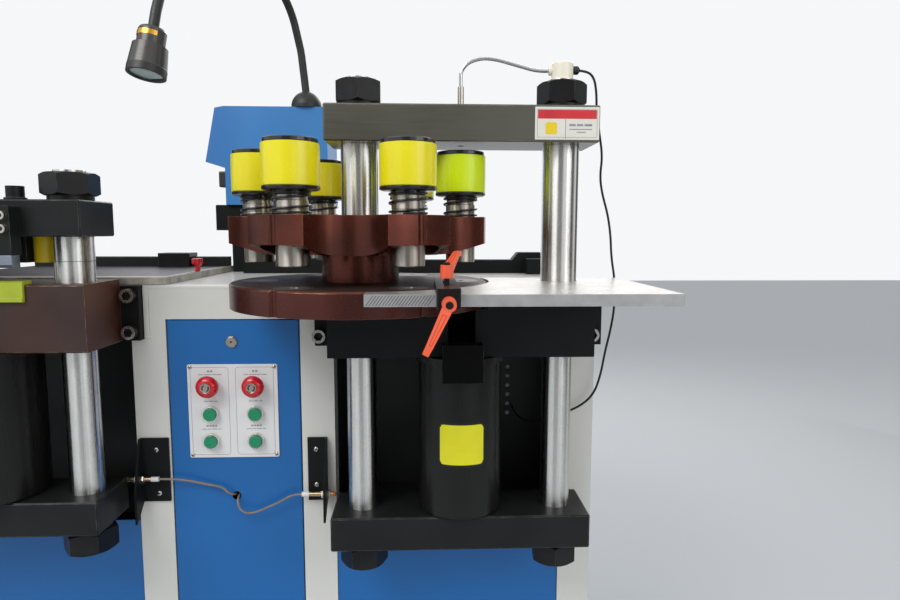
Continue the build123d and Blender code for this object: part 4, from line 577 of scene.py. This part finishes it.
# The world is white where the camera, a mirror or glass sees it, and lights the object with less
world = bpy.data.worlds.new("studio")
bpy.context.scene.world = world
world.use_nodes = True
tree = world.node_tree
tree.nodes.clear()
path = add_node(tree, "ShaderNodeLightPath")
seen = path.outputs["Is Camera Ray"]
for ray in ("Is Glossy Ray", "Is Transmission Ray"):
    either = add_node(tree, "ShaderNodeMath", operation="MAXIMUM")
    tree.links.new(seen, either.inputs[0])
    tree.links.new(path.outputs[ray], either.inputs[1])
    seen = either.outputs["Value"]
lit = add_node(tree, "ShaderNodeBackground", {"Color": (0.92, 0.96, 1.0, 1), "Strength": 0.58})
shown = add_node(tree, "ShaderNodeBackground", {"Color": (0.97, 0.98, 1.0, 1), "Strength": 0.95})
choose = add_node(tree, "ShaderNodeMixShader")
out = add_node(tree, "ShaderNodeOutputWorld")
tree.links.new(seen, choose.inputs["Fac"])
tree.links.new(lit.outputs["Background"], choose.inputs[1])
tree.links.new(shown.outputs["Background"], choose.inputs[2])
tree.links.new(choose.outputs["Shader"], out.inputs["Surface"])


# Boards with soft sides stand round the machine: only the polished surfaces see them
def soft_board(name, color):
    """A board's material, which fades out towards its two upright sides."""
    material = stage_material(name, color)
    tree = material.node_tree
    link = tree.links.new
    split = add_node(tree, "ShaderNodeSeparateXYZ")
    link(add_node(tree, "ShaderNodeTexCoord").outputs["UV"], split.inputs["Vector"])
    from_middle = add_node(tree, "ShaderNodeMath", {1: 0.5}, operation="SUBTRACT")
    link(split.outputs["X"], from_middle.inputs[0])
    distance = add_node(tree, "ShaderNodeMath", operation="ABSOLUTE")
    link(from_middle.outputs["Value"], distance.inputs[0])
    fade = add_node(tree, "ShaderNodeMapRange", {"From Min": 0.2, "From Max": 0.5},
                    interpolation_type="SMOOTHSTEP")
    link(distance.outputs["Value"], fade.inputs["Value"])
    mixed = add_node(tree, "ShaderNodeMixShader")
    link(fade.outputs["Result"], mixed.inputs["Fac"])
    link(shader_of(material).outputs["BSDF"], mixed.inputs[1])
    link(add_node(tree, "ShaderNodeBsdfTransparent").outputs["BSDF"], mixed.inputs[2])
    link(mixed.outputs["Shader"], tree.nodes["Material Output"].inputs["Surface"])
    return material


board_distance = 3.2
board_rise = Vector((0, 0, 3.6))
boards_middle = Vector((0.2, column_y * MM, 0))
for index, (azimuth, half_width, color) in enumerate((
        (-128, 1.5, tone(58, 60, 62)), (-4, 1.4, tone(128, 126, 122)), (66, 1.9, tone(66, 58, 50)),
        (120, 1.2, tone(84, 80, 74)))):
    turn = math.radians(azimuth)
    toward = Vector((math.sin(turn), -math.cos(turn), 0))
    beside = Vector((math.cos(turn), math.sin(turn), 0)) * half_width
    foot = boards_middle + toward * board_distance
    card = stage_card(f"board_{index}", [foot - beside, foot + beside, foot + beside + board_rise,
                                         foot - beside + board_rise], soft_board(f"board_{index}", color))
    layer = card.data.uv_layers.new(name="side_to_side")
    for corner, place in zip(layer.data, ((0, 0), (1, 0), (1, 1), (0, 1))):
        corner.uv = place
    card.visible_camera = False
    card.visible_diffuse = False
    card.visible_shadow = False
    card.visible_transmission = False


def lamp_light(name, place, aim, size, power):
    """An area lamp of a size in metres and a power in watts, which points at aim."""
    data = bpy.data.lights.new(name, "AREA")
    data.shape = "RECTANGLE"
    data.size, data.size_y = size
    data.energy = power
    made = add_object(name, data)
    made.location = place
    made.rotation_euler = (Vector(aim) - Vector(place)).to_track_quat("-Z", "Y").to_euler()


lamp_light("key", (-1.4, -2.3, 3.2), (0.1, -0.2, 0.95), (2.0, 1.4), 58)
lamp_light("fill", (2.6, -2.2, 1.9), (0.2, -0.3, 0.8), (1.6, 1.8), 20)
lamp_light("back", (0.5, 2.6, 2.8), (0.1, 0.0, 0.9), (3.0, 1.2), 40)


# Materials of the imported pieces
def paint(material, *nodes):
    for node in nodes:
        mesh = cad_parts[node].data
        mesh.materials.clear()
        mesh.materials.append(material)
        smooth(mesh)


def paint_where(node, material, test):
    """Gives the faces that pass the test another material: c is a face's centre in mm, n is its normal."""
    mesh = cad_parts[node].data
    mesh.materials.append(material)
    index = len(mesh.materials) - 1
    for face in mesh.polygons:
        if test(face.center / MM, face.normal):
            face.material_index = index


paint(white_paint, "cabinet_frame", "floor_feet", "cabinet_top")
paint(blue_paint, "blue_panels", "door")
paint(pale_blue, "rear_housing")
paint(bay_black, "bay_liners")
paint(bed_black, "punch_bed", "rear_gauge", "rear_column", "end_sensors")
paint(chute_black, "slug_chute")
paint(cylinder_black, "press_cylinders")
paint(tank_grey, "power_unit")
paint(milled_steel, "work_table")
paint(black_oxide, "bed_screws", "yoke_nuts", "shear_nuts", "guide_bar", "fence_stop")
paint(brown_steel, "shear_bed")
paint(blade_green, "lower_blade")
paint(feed_steel, "feed_table")
paint(plate_black, "feed_fence", "shear_beam", "shear_base", "yoke_base", "blade_holder")
paint(beam_black, "top_beam")
paint(blade_steel, "upper_blade")
paint(chrome, "tie_rods", "shear_rods", "button_bezels")
paint(nickel, "door_lock")
paint(bronze, "punch_wheel")
paint(dark_bronze, "die_wheel")
paint(turned_steel, "dies")
paint(lever_orange, "top_lever", "front_lever")
paint(signal_red, "fence_knob", "stop_head_left", "stop_head_right")
paint(signal_green, *[f"start_cap_{k}" for k in range(1, 5)])
paint(panel_white, "control_plate")
paint(cream_plastic, "pointer_light")
paint(neck_black, "lamp_arm")
paint(lamp_metal, "lamp_head")
paint(gloss_black, "punch_springs")
paint(yellow_urethane, *[f"punch_{k}" for k in range(1, 7)])
paint(cable_grey, "sensor_cable_left", "sensor_cable_right")
paint(cable_black, "pointer_cable")

# Places in mm that several pieces share
panel_face = corners_of("control_plate")[0].y
stop_heads = {"stop_left": -53.0, "stop_right": 27.0}
stop_level = 756.0
stop_front = -329.0
sensor_line = -314.0
left_sensor_level = 586.5
right_sensor_level = 554.5
guide_x = 363.0
top_stud_y = -573.0
front_stud_z = 941.0
head_axis = Vector((-3.5, -5.0, -28.5)).normalized()
neck_end = Vector((-118.0, -320.0, 1366.5))
holder_front = corners_of("blade_holder")[0].y

# Parts of a imported piece that have a colour of their own; the tops of the die wheel and of the dies are
# painted darker instead, as painted dark reflection
square_on = 0.9
slanted = 0.5
paint_where("work_table", ground_edge, lambda c, n: abs(n.z) < slanted)
paint_where("top_beam", beam_ground, lambda c, n: n.z < -square_on)
# The die wheel's top faces: painted dark reflection
paint_where("die_wheel", painted_dark_reflection_top, lambda c, n: n.z > square_on and c.z < table_z + 10)
# The dies' top faces: painted dark reflection
paint_where("dies", painted_dark_reflection_die_top, lambda c, n: n.z > square_on)
paint_where("feed_table", feed_edge, lambda c, n: n.y < -slanted or n.x > slanted)

# Pointer light: a bright tube to the left of the cap, with a nickel end
light_cap_left = 538.5
tube_end_right, tube_end_top = 398.0, 1264.5
paint_where("pointer_light", tube_steel, lambda c, n: c.x < light_cap_left)
paint_where("pointer_light", nickel, lambda c, n: c.x < tube_end_right and c.z < tube_end_top)

# Shearing bed: rusty ends, black flanges, bright screw faces with painted shade in their sockets
shear_x = -386.0
bed_half_width = 190.5
screw_front, socket_mouth, socket_floor, bed_front = -333.0, -333.9, -327.0, -325.0
paint_where("shear_bed", rust_steel, lambda c, n: abs(n.x) > square_on)
paint_where("shear_bed", bed_black, lambda c, n: abs(c.x - shear_x) > bed_half_width)
paint_where("bed_screws", screw_steel, lambda c, n: n.y < -square_on and c.y < screw_front)
# The sockets' walls and floors: painted shade
paint_where("bed_screws", shade_and_print_black, lambda c, n: socket_mouth < c.y < bed_front
            and (abs(n.y) < slanted or c.y > socket_floor))

# Blade holder: a yellow sleeve at the right, bright screws along the top
sleeve_left, sleeve_front, sleeve_top = -305.9, -400.0, 1022.5
screw_depth, screws_low = 5.5, 1020.0
paint_where("blade_holder", band_yellow,
            lambda c, n: c.x > sleeve_left and c.y > sleeve_front and c.z < sleeve_top)
paint_where("blade_holder", screw_steel, lambda c, n: c.y < holder_front + screw_depth and c.z > screws_low)

# Mushroom heads: a nickel disc in the middle
disc_radius = 8.9
for body, head_x in stop_heads.items():
    paint_where(body.replace("stop", "stop_head"), nickel, lambda c, n: c.y < stop_front + 0.1
                and math.hypot(c.x - head_x, c.z - stop_level) < disc_radius)

# Levers: a black foot and the black end of the stud
foot_top, stud_bottom = 967.7, 979.0
foot_front, stud_back = -652.7, -664.0
stud_radius = 5.0
paint_where("top_lever", black_oxide, lambda c, n: c.z < foot_top
            or (c.z > stud_bottom and math.hypot(c.x - guide_x, c.y - top_stud_y) < stud_radius))
paint_where("front_lever", black_oxide, lambda c, n: c.y > foot_front
            or (c.y < stud_back and math.hypot(c.x - guide_x, c.z - front_stud_z) < stud_radius))

# Lamp head: a dark ring towards its mouth, and the lens
ring_start = 69.0
lamp_foot = corners_of("lamp_head")[0].z
lens_middle = middle_of("lamp_head") - Vector((2.5, 3.5, 0))
lens_radius, lens_depth = 24.0, 14.0
paint_where("lamp_head", neck_black, lambda c, n: (c - neck_end).dot(head_axis) > ring_start)
paint_where("lamp_head", lens_glass, lambda c, n: c.z < lamp_foot + lens_depth and n.z < -0.7
            and (c - lens_middle).xy.length < lens_radius)

# Sensors: a threaded brass barrel with two nickel nuts, which stand out in front of the bracket
thread_radius, nut_radius, bracket_front = 4.3, 8.0, -305.0
for axis_z, low_x, high_x in ((left_sensor_level, -207, -147), (right_sensor_level, 109, 169)):
    def off_axis(c):
        return math.hypot(c.y - sensor_line, c.z - axis_z)
    paint_where("end_sensors", thread_brass,
                lambda c, n: low_x - 1 < c.x < high_x + 1 and off_axis(c) < thread_radius)
    paint_where("end_sensors", nickel, lambda c, n: low_x < c.x < high_x and c.y < bracket_front
                and thread_radius - 0.1 < off_axis(c) < nut_radius)

# Levers: softened edges
for node in ("top_lever", "front_lever"):
    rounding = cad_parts[node].modifiers.new("bevel", "BEVEL")
    rounding.width = 1.1 * MM
    rounding.segments = 3
    rounding.limit_method = "ANGLE"

# Cables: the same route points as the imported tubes
left_route = [
    (-147.0, -314.0, 586.5), (-123.0, -314.0, 586.5), (-95.0, -312.0, 582.5), (-65.0, -308.0, 573.5),
    (-35.0, -308.0, 567.5), (-25.0, -311.0, 557.0), (-15.5, -302.0, 550.5), (-16.0, -286.0, 548.0)]
right_route = [
    (109.0, -314.0, 554.5), (92.0, -314.0, 554.5), (69.0, -316.0, 541.5), (45.0, -315.0, 530.5),
    (25.0, -314.0, 521.5), (8.0, -316.0, 520.0), (-4.0, -315.0, 528.0), (-9.0, -310.0, 540.0),
    (-10.0, -300.0, 547.0), (-10.0, -282.0, 548.0)]


def door_cable(name, points, node):
    """A sensor's lead: a grey tube along the route's points, in mm, in place of the imported node, which it
    hides."""
    line = route_line(name + "_route", points, fineness=40)
    made = hose(name, line, cable_radius, cable_grey)
    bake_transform(made)
    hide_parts(node)


cable_radius = 2.0
door_cable("left_sensor_lead", left_route, "sensor_cable_left")
door_cable("right_sensor_lead", right_route, "sensor_cable_right")

pointer_route = [
    (575.0, -380.0, 1292.0), (595.0, -380.0, 1292.0), (613.0, -366.0, 1286.0), (625.0, -340.0, 1266.0),
    (630.0, -324.0, 1234.0), (638.0, -318.0, 1200.0), (644.5, -316.0, 1162.0), (641.5, -314.0, 1128.0),
    (646.5, -313.0, 1098.0), (658.0, -312.0, 1062.0), (664.5, -311.0, 1024.0), (667.0, -310.0, 986.0),
    (675.0, -309.0, 944.0), (676.0, -309.0, 898.0), (670.0, -310.0, 856.0), (659.0, -314.0, 814.0),
    (651.5, -318.0, 774.0), (640.0, -318.0, 738.0), (619.0, -314.0, 716.0), (591.0, -316.0, 704.0),
    (567.0, -300.0, 688.0), (544.0, -272.0, 672.0), (525.0, -240.0, 666.0), (515.0, -202.0, 668.0),
    (513.0, -158.0, 670.0), (513.0, -133.0, 670.0)]
pointer_line = route_line("pointer_route", pointer_route)
pointer_lead = hose("pointer_lead", pointer_line, cable_radius, cable_black)
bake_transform(pointer_lead)
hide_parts("pointer_cable")

# Punches: a guide sleeve, a neck ring, a lower disc, a urethane pad and a cap, at heights above the table
station_radius = 165.0
punch_profiles = {
    "cap": [(0, 207.4), (8.6, 207.4), (9.4, 209.4), (37.4, 209.6), (38.7, 208.6), (38.9, 204.2),
            (38.2, 203.2), (0, 203.2)],
    "pad": [(0, 144.2), (40.2, 144.2), (40.7, 144.7), (40.9, 150), (41.1, 173), (40.9, 197), (40.7, 202.5),
            (40.2, 203.0), (0, 203.0)],
    "disc": [(0, 138.0), (37.0, 138.0), (40.6, 139.6), (41.0, 140.4), (41.0, 143.2), (40.0, 144.1),
             (0, 144.1)],
    "neck": [(0, 131.8), (23.6, 131.8), (24.8, 132.8), (24.8, 138.2), (0, 138.2)],
    "sleeve": [(0, 35.0), (9.5, 35.0), (9.5, 41.0), (16.5, 41.0), (16.5, 31.6), (17.1, 31.0), (22.8, 31.0),
               (23.9, 32.2), (24.0, 60.0), (24.0, 110.6), (23.4, 111.0), (23.4, 112.2), (24.0, 112.6),
               (24.0, 124.0), (22.6, 125.0), (22.6, 132.0), (0, 132.0)]}

# Their springs: a close loop at the top, an open middle and a close loop at the foot
coil_radius = 26.6
wire_radius = 1.7
coil_top = 135.9
coil_loops, open_from, open_to = 3.6, 1.0, 2.6
top_pitch, open_pitch, foot_pitch = 3.3, 14.5, 3.6
coil_steps = 40
coil_shift = 0.6


def coil_height(loop):
    """The height above the table, in mm, of a spring's wire after so many loops from its top."""
    opened = min(max(loop - open_from, 0.0), open_to - open_from)
    return (coil_top - top_pitch * min(loop, open_from) - open_pitch * opened
            - foot_pitch * max(loop - open_to, 0.0))


for station, word in enumerate(("one", "two", "three", "four", "five", "six")):
    body = "punch_" + word
    number = station + 1
    turn = math.radians(60 * station)
    x = turret_x + station_radius * math.cos(turn)
    y = column_y + station_radius * math.sin(turn)
    pad_material = yellow_urethane if station else lime_urethane
    for part, profile in punch_profiles.items():
        material = {"pad": pad_material, "sleeve": turned_steel}.get(part, gloss_black)
        made = turned(f"punch_{part}_{number}", profile, upright(x, y, table_z, 60 * station), material, body)
        if part == "cap":
            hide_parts(f"punch_{number}")
    coil = []
    for k in range(int(coil_loops * coil_steps) + 1):
        loop = k / coil_steps
        coil_turn = turn + coil_shift * station - 2 * math.pi * loop
        coil.append(Vector((x + coil_radius * math.cos(coil_turn), y + coil_radius * math.sin(coil_turn),
                            table_z + coil_height(loop))) * MM)
    spring = hose(f"punch_spring_{number}", coil, wire_radius, gloss_black, segments=10)
    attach(spring, "turret")
    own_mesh(spring)
    if station == 0:
        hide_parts("punch_springs")

# Control plate: two rounded outlines, four screws and short marks where the labels are
outlines = bmesh.new()
for outline_x in (-54.0, 26.0):
    ring_of(outlines, rounded_outline(68.0, 162.0, 6.0), rounded_outline(66.8, 160.8, 5.4),
            facing(outline_x, panel_face, 707.5), 0.15)
piece("plate_outlines", outlines, print_grey, "door")
marks = bmesh.new()
mark_gap = 1.6
for label_x in stop_heads.values():
    for label_z, height, widths in ((781.0, 3.0, (4.0, 4.0)), (774.8, 1.2, (9.0, 13.0, 6.0, 9.0)),
                                    (726.0, 1.4, (7.0, 8.0, 6.0)), (680.4, 2.8, (4.0, 3.0, 4.0, 3.0)),
                                    (674.4, 1.2, (9.0, 6.0, 9.0, 6.0))):
        run = label_x - (sum(widths) + mark_gap * (len(widths) - 1)) / 2
        for width in widths:
            slab(marks, (run, panel_face - 0.12, label_z - height / 2),
                 (run + width, panel_face, label_z + height / 2))
            run += width + mark_gap
piece("plate_marks", marks, print_grey, "door")
plate_screws = ((-88.0, 788.5), (62.0, 788.5), (-88.0, 626.5), (62.0, 626.5))
for index, (screw_x, screw_z) in enumerate(plate_screws):
    cross_screw(f"plate_screw_{index}", facing(screw_x, panel_face, screw_z, 20 * index), 7.0, "door", nickel)
for body, head_x in stop_heads.items():
    arrows = bmesh.new()
    for start_angle in (112, 292):
        prism(arrows, arc_band(6.6, 4.4, start_angle, start_angle + 105),
              facing(head_x, stop_front, stop_level), 0.15)
    piece(body.replace("stop", "stop_arrows"), arrows, shade_and_print_black, body)

# Sensors: bracket screws, tips, end sleeves
bracket_screws = ((-153.0, 637.5), (-150.5, 556.0), (134.3, 635.5), (134.3, 568.5))
for index, (screw_x, screw_z) in enumerate(bracket_screws):
    cross_screw(f"bracket_screw_{index}", facing(screw_x, -304.0, screw_z, 35 * index), 10.0, "base",
                screw_steel)
sensor_tip = [(0, -0.3), (3.6, -0.3), (4.3, 0.5), (4.3, 4.6), (4.0, 5.3), (0, 5.3)]
sensor_end = [(0, 0), (4.2, 0), (4.4, 0.6), (4.4, 13.0), (4.0, 13.6), (0, 13.6)]
for part, profile, material, places in (("tip", sensor_tip, sensor_orange, (-207.0, 164.0)),
                                        ("end", sensor_end, panel_white, (-160.0, 108.4))):
    for side, level, x in zip(("left", "right"), (left_sensor_level, right_sensor_level), places):
        turned(f"sensor_{part}_{side}", profile, at(x, sensor_line, level) @ turn_about("Y", 90), material,
               "base", segments=28)

# Beam: a pale plate with a thin outline, a red band, a plain patch and short marks
beam_face = corners_of("top_beam")[0].y
sign_face = beam_face - 0.8
print_depth = 0.12
slab_piece("sign_plate", (504.5, sign_face, 1173.5), (605.5, beam_face, 1223.5), sign_white, "punch_yoke",
           0.3)
sign_print = bmesh.new()
ring_of(sign_print, rounded_outline(94, 43, 1), rounded_outline(93, 42, 0.6),
        facing(555.0, sign_face, 1198.5), print_depth)
for line_z, height, spans in ((1190.0, 30.4, ((552.0, 552.8),)),
                              (1196.0, 3.4, ((558, 568), (570, 580), (582, 594))),
                              (1189.5, 1.4, ((558, 594),)), (1185.0, 1.4, ((570, 584),))):
    for low_x, high_x in spans:
        slab(sign_print, (low_x, sign_face - print_depth, line_z - height / 2),
             (high_x, sign_face, line_z + height / 2))
piece("sign_marks", sign_print, print_grey, "punch_yoke")
slab_piece("sign_band", (509, sign_face - 0.15, 1205.5), (601, sign_face, 1219), print_red, "punch_yoke", 0.1)
sign_patch = bmesh.new()
prism(sign_patch, rounded_outline(18, 18, 3), facing(530.0, sign_face, 1191.0), print_depth)
piece("sign_patch", sign_patch, band_yellow, "punch_yoke")

# Cylinder: a plain yellow patch with a dark border
for name, radius, half_angle, low, high, corner, material in (
        ("cylinder_patch_border", 70.2, 33, 652, 726, 8, shade_and_print_black),
        ("cylinder_patch", 70.5, 30, 656, 722, 6, patch_yellow)):
    bent_patch(name, (punch_x, column_y), radius, half_angle, low, high, corner, material, "base")

# Work table: slanted cutter marks on the left of its front edge
table_front = corners_of("work_table")[0].y
first_cut, cut_gap, cut_foot = 256.0, 4.2, 14.5
cutter = bmesh.new()
for index in range(20):
    prism(cutter, [(0, 0), (1.2, 0), (10.6, 13.0), (9.4, 13.0)],
          facing(first_cut + cut_gap * index, table_front, table_z - cut_foot), 0.1)
piece("cutter_marks", cutter, milled_dark, "base")

# Feed table: a scale along its right edge
scale_right, scale_start, scale_gap = -122.0, -290.0, 5.0
scale_marks = bmesh.new()
for index in range(76):
    mark_y = scale_start + scale_gap * index
    reach = 9.0 if index % 10 == 0 else 6.5 if index % 2 == 0 else 4.0
    slab(scale_marks, (scale_right - reach, mark_y - 0.35, table_z),
         (scale_right - 0.6, mark_y + 0.35, table_z + 0.1))
piece("feed_scale", scale_marks, plate_black, "base")

# Lower blade: the step along the foot of its front
blade_low, blade_high = corners_of("lower_blade")
slab_piece("blade_step", (blade_low.x + 0.4, blade_low.y - 1.6, blade_low.z + 0.4),
           (blade_high.x - 0.4, blade_low.y + 0.4, blade_low.z + 7.0), blade_green, "base", 0.5)

# Blade holder: dark discs of painted shade for the sockets of its bright screws
holder_screws = ((-461.0, 1034.0), (-461.0, 1054.0), (-296.0, 1034.0), (-296.0, 1054.0))
for index, (screw_x, screw_z) in enumerate(holder_screws):
    turned(f"holder_socket_shade_{index}", [(0, -0.4), (3.6, -0.4), (3.6, 0.1), (0, 0.1)],
           facing(screw_x, holder_front, screw_z), shade_and_print_black, "shear_yoke", segments=6)

# Cabinet: round heads along the side and rear panels
panel_screws = bmesh.new()
for screw_z in (110.0, 490.0, 868.0):
    seats = [((screw_x, 297.8, screw_z), turn_about("X", -90)) for screw_x in (-560.0, 0.0, 560.0)
             if screw_x or screw_z != 490.0]
    seats += [((side * 640.8, screw_y, screw_z), turn_about("Y", side * 90)) for screw_y in (-210.0, 210.0)
              for side in (-1, 1)]
    for seat, heading in seats:
        prism(panel_screws, circle(4.5, 24), at(*seat) @ heading, 1.8)
piece("panel_screws", panel_screws, screw_steel, "base", bevel=0.9)

# Frame: the pad beside the shear's flange, the latch under the housing's wing
slab_piece("shear_pad", (-164.6, -303.0, 841.0), (-155.0, -300.0, 932.0), white_paint, "base", 1.0)
slab_piece("housing_latch", (-137.0, 58.0, 1131.0), (-119.6, 96.0, 1167.0), gloss_black, "base", 3.0)

# Pointer light: a boss on the cap's left, a plug on its right
turned("pointer_boss", [(0, 0), (7.2, 0), (7.2, 4.6), (6.4, 5.6), (3.2, 5.6), (0, 5.6)],
       at(540.5, column_y, 1290.5) @ turn_about("Y", -90), cream_plastic, "punch_yoke", segments=36)
turned("pointer_plug", [(0, 0), (7.0, 0), (7.0, 7.6), (5.6, 9.2), (3.0, 11.0), (0, 11.0)],
       at(574.5, column_y, 1292.0) @ turn_about("Y", 90), gloss_black, "punch_yoke", segments=36)

# Lamp: a brass window in the collar; the head's axis runs down from the end of the neck
across = (Vector((1, 0, 0)) - head_axis * head_axis.x).normalized()
head_place = Matrix((across, head_axis.cross(across), head_axis)).transposed().to_4x4()
window_start, window_height = 10.5, 8.5
head_place.translation = (neck_end + window_start * head_axis) * MM
band = bmesh.new()
prism(band, arc_band(22.9, 22.2, 45, 164, steps=30), head_place, window_height)
bmesh.ops.recalc_face_normals(band, faces=band.faces)
piece("lamp_window", band, brass, "base")


# Levers: painted shade of a groove along each arm
def lever_groove(name, seat, start, end, rise, body):
    """A thin frame of painted groove shade on the arm's upper face, which climbs from start to end mm along
    the arm.
    """
    slope = math.atan2(rise[1] - rise[0], end - start)
    place = seat @ at(start, 0, rise[0] + 0.05) @ turn_about("Y", -math.degrees(slope))
    run = (end - start) / math.cos(slope)
    build = bmesh.new()
    ring_of(build, [(0, -3.0), (run, -1.9), (run, 1.9), (0, 3.0)],
            [(1.0, -2.1), (run - 1.0, -1.1), (run - 1.0, 1.1), (1.0, 2.1)], place, 0.25)
    piece(name, build, painted_groove_shade, body)


top_seat = upright(guide_x, top_stud_y, 959.6, 68)
front_seat = facing(guide_x, -644.6, front_stud_z, -117)
lever_groove("top_lever_groove", top_seat, 13.0, 37.0, (29.3, 42.0), "guide_lever")
lever_groove("front_lever_groove", front_seat, 13.0, 53.0, (27.9, 42.3), "block_lever")

# Levers: the black screw in each hub
hub_top = at(0, 0, 25.0)
socket_screw("top_lever_screw", top_seat @ hub_top, 9.2, 4.6, "guide_lever")
socket_screw("front_lever_screw", front_seat @ hub_top, 9.2, 1.6, "block_lever")

# Lock: a pale face with a small keyhole, a dark disc of painted shade
lock_face = facing(-13.0, corners_of("door_lock")[0].y + 0.2, 834.0)
turned("lock_face", [(0, 0), (8.6, 0), (8.6, 0.4), (8.0, 0.9), (1.9, 0.9), (1.5, 0.3), (0, 0.3)], lock_face,
       nickel, "door_key", segments=48)
turned("lock_keyhole_shade", [(0, 0.3), (1.6, 0.3), (1.6, 0.95), (0, 0.95)], lock_face, shade_and_print_black, "door_key",
       segments=24)

# Bay: a pale sheet behind the row of holes, painted light that shows through them
liner_back = corners_of("bay_liners")[1].y
slab_piece("hole_light_backing", (499.0, liner_back + 0.1, 642.0), (513.0, liner_back + 1.3, 758.0), painted_hole_light,
           "base", 0.2)

# Column: a fine scribed line
turned("scribed_line", [(30.02, 0), (30.08, 0.1), (30.08, 0.7), (30.02, 0.8)],
       upright(-236.0, column_y, 982.0), black_oxide, "shear_yoke", segments=96)
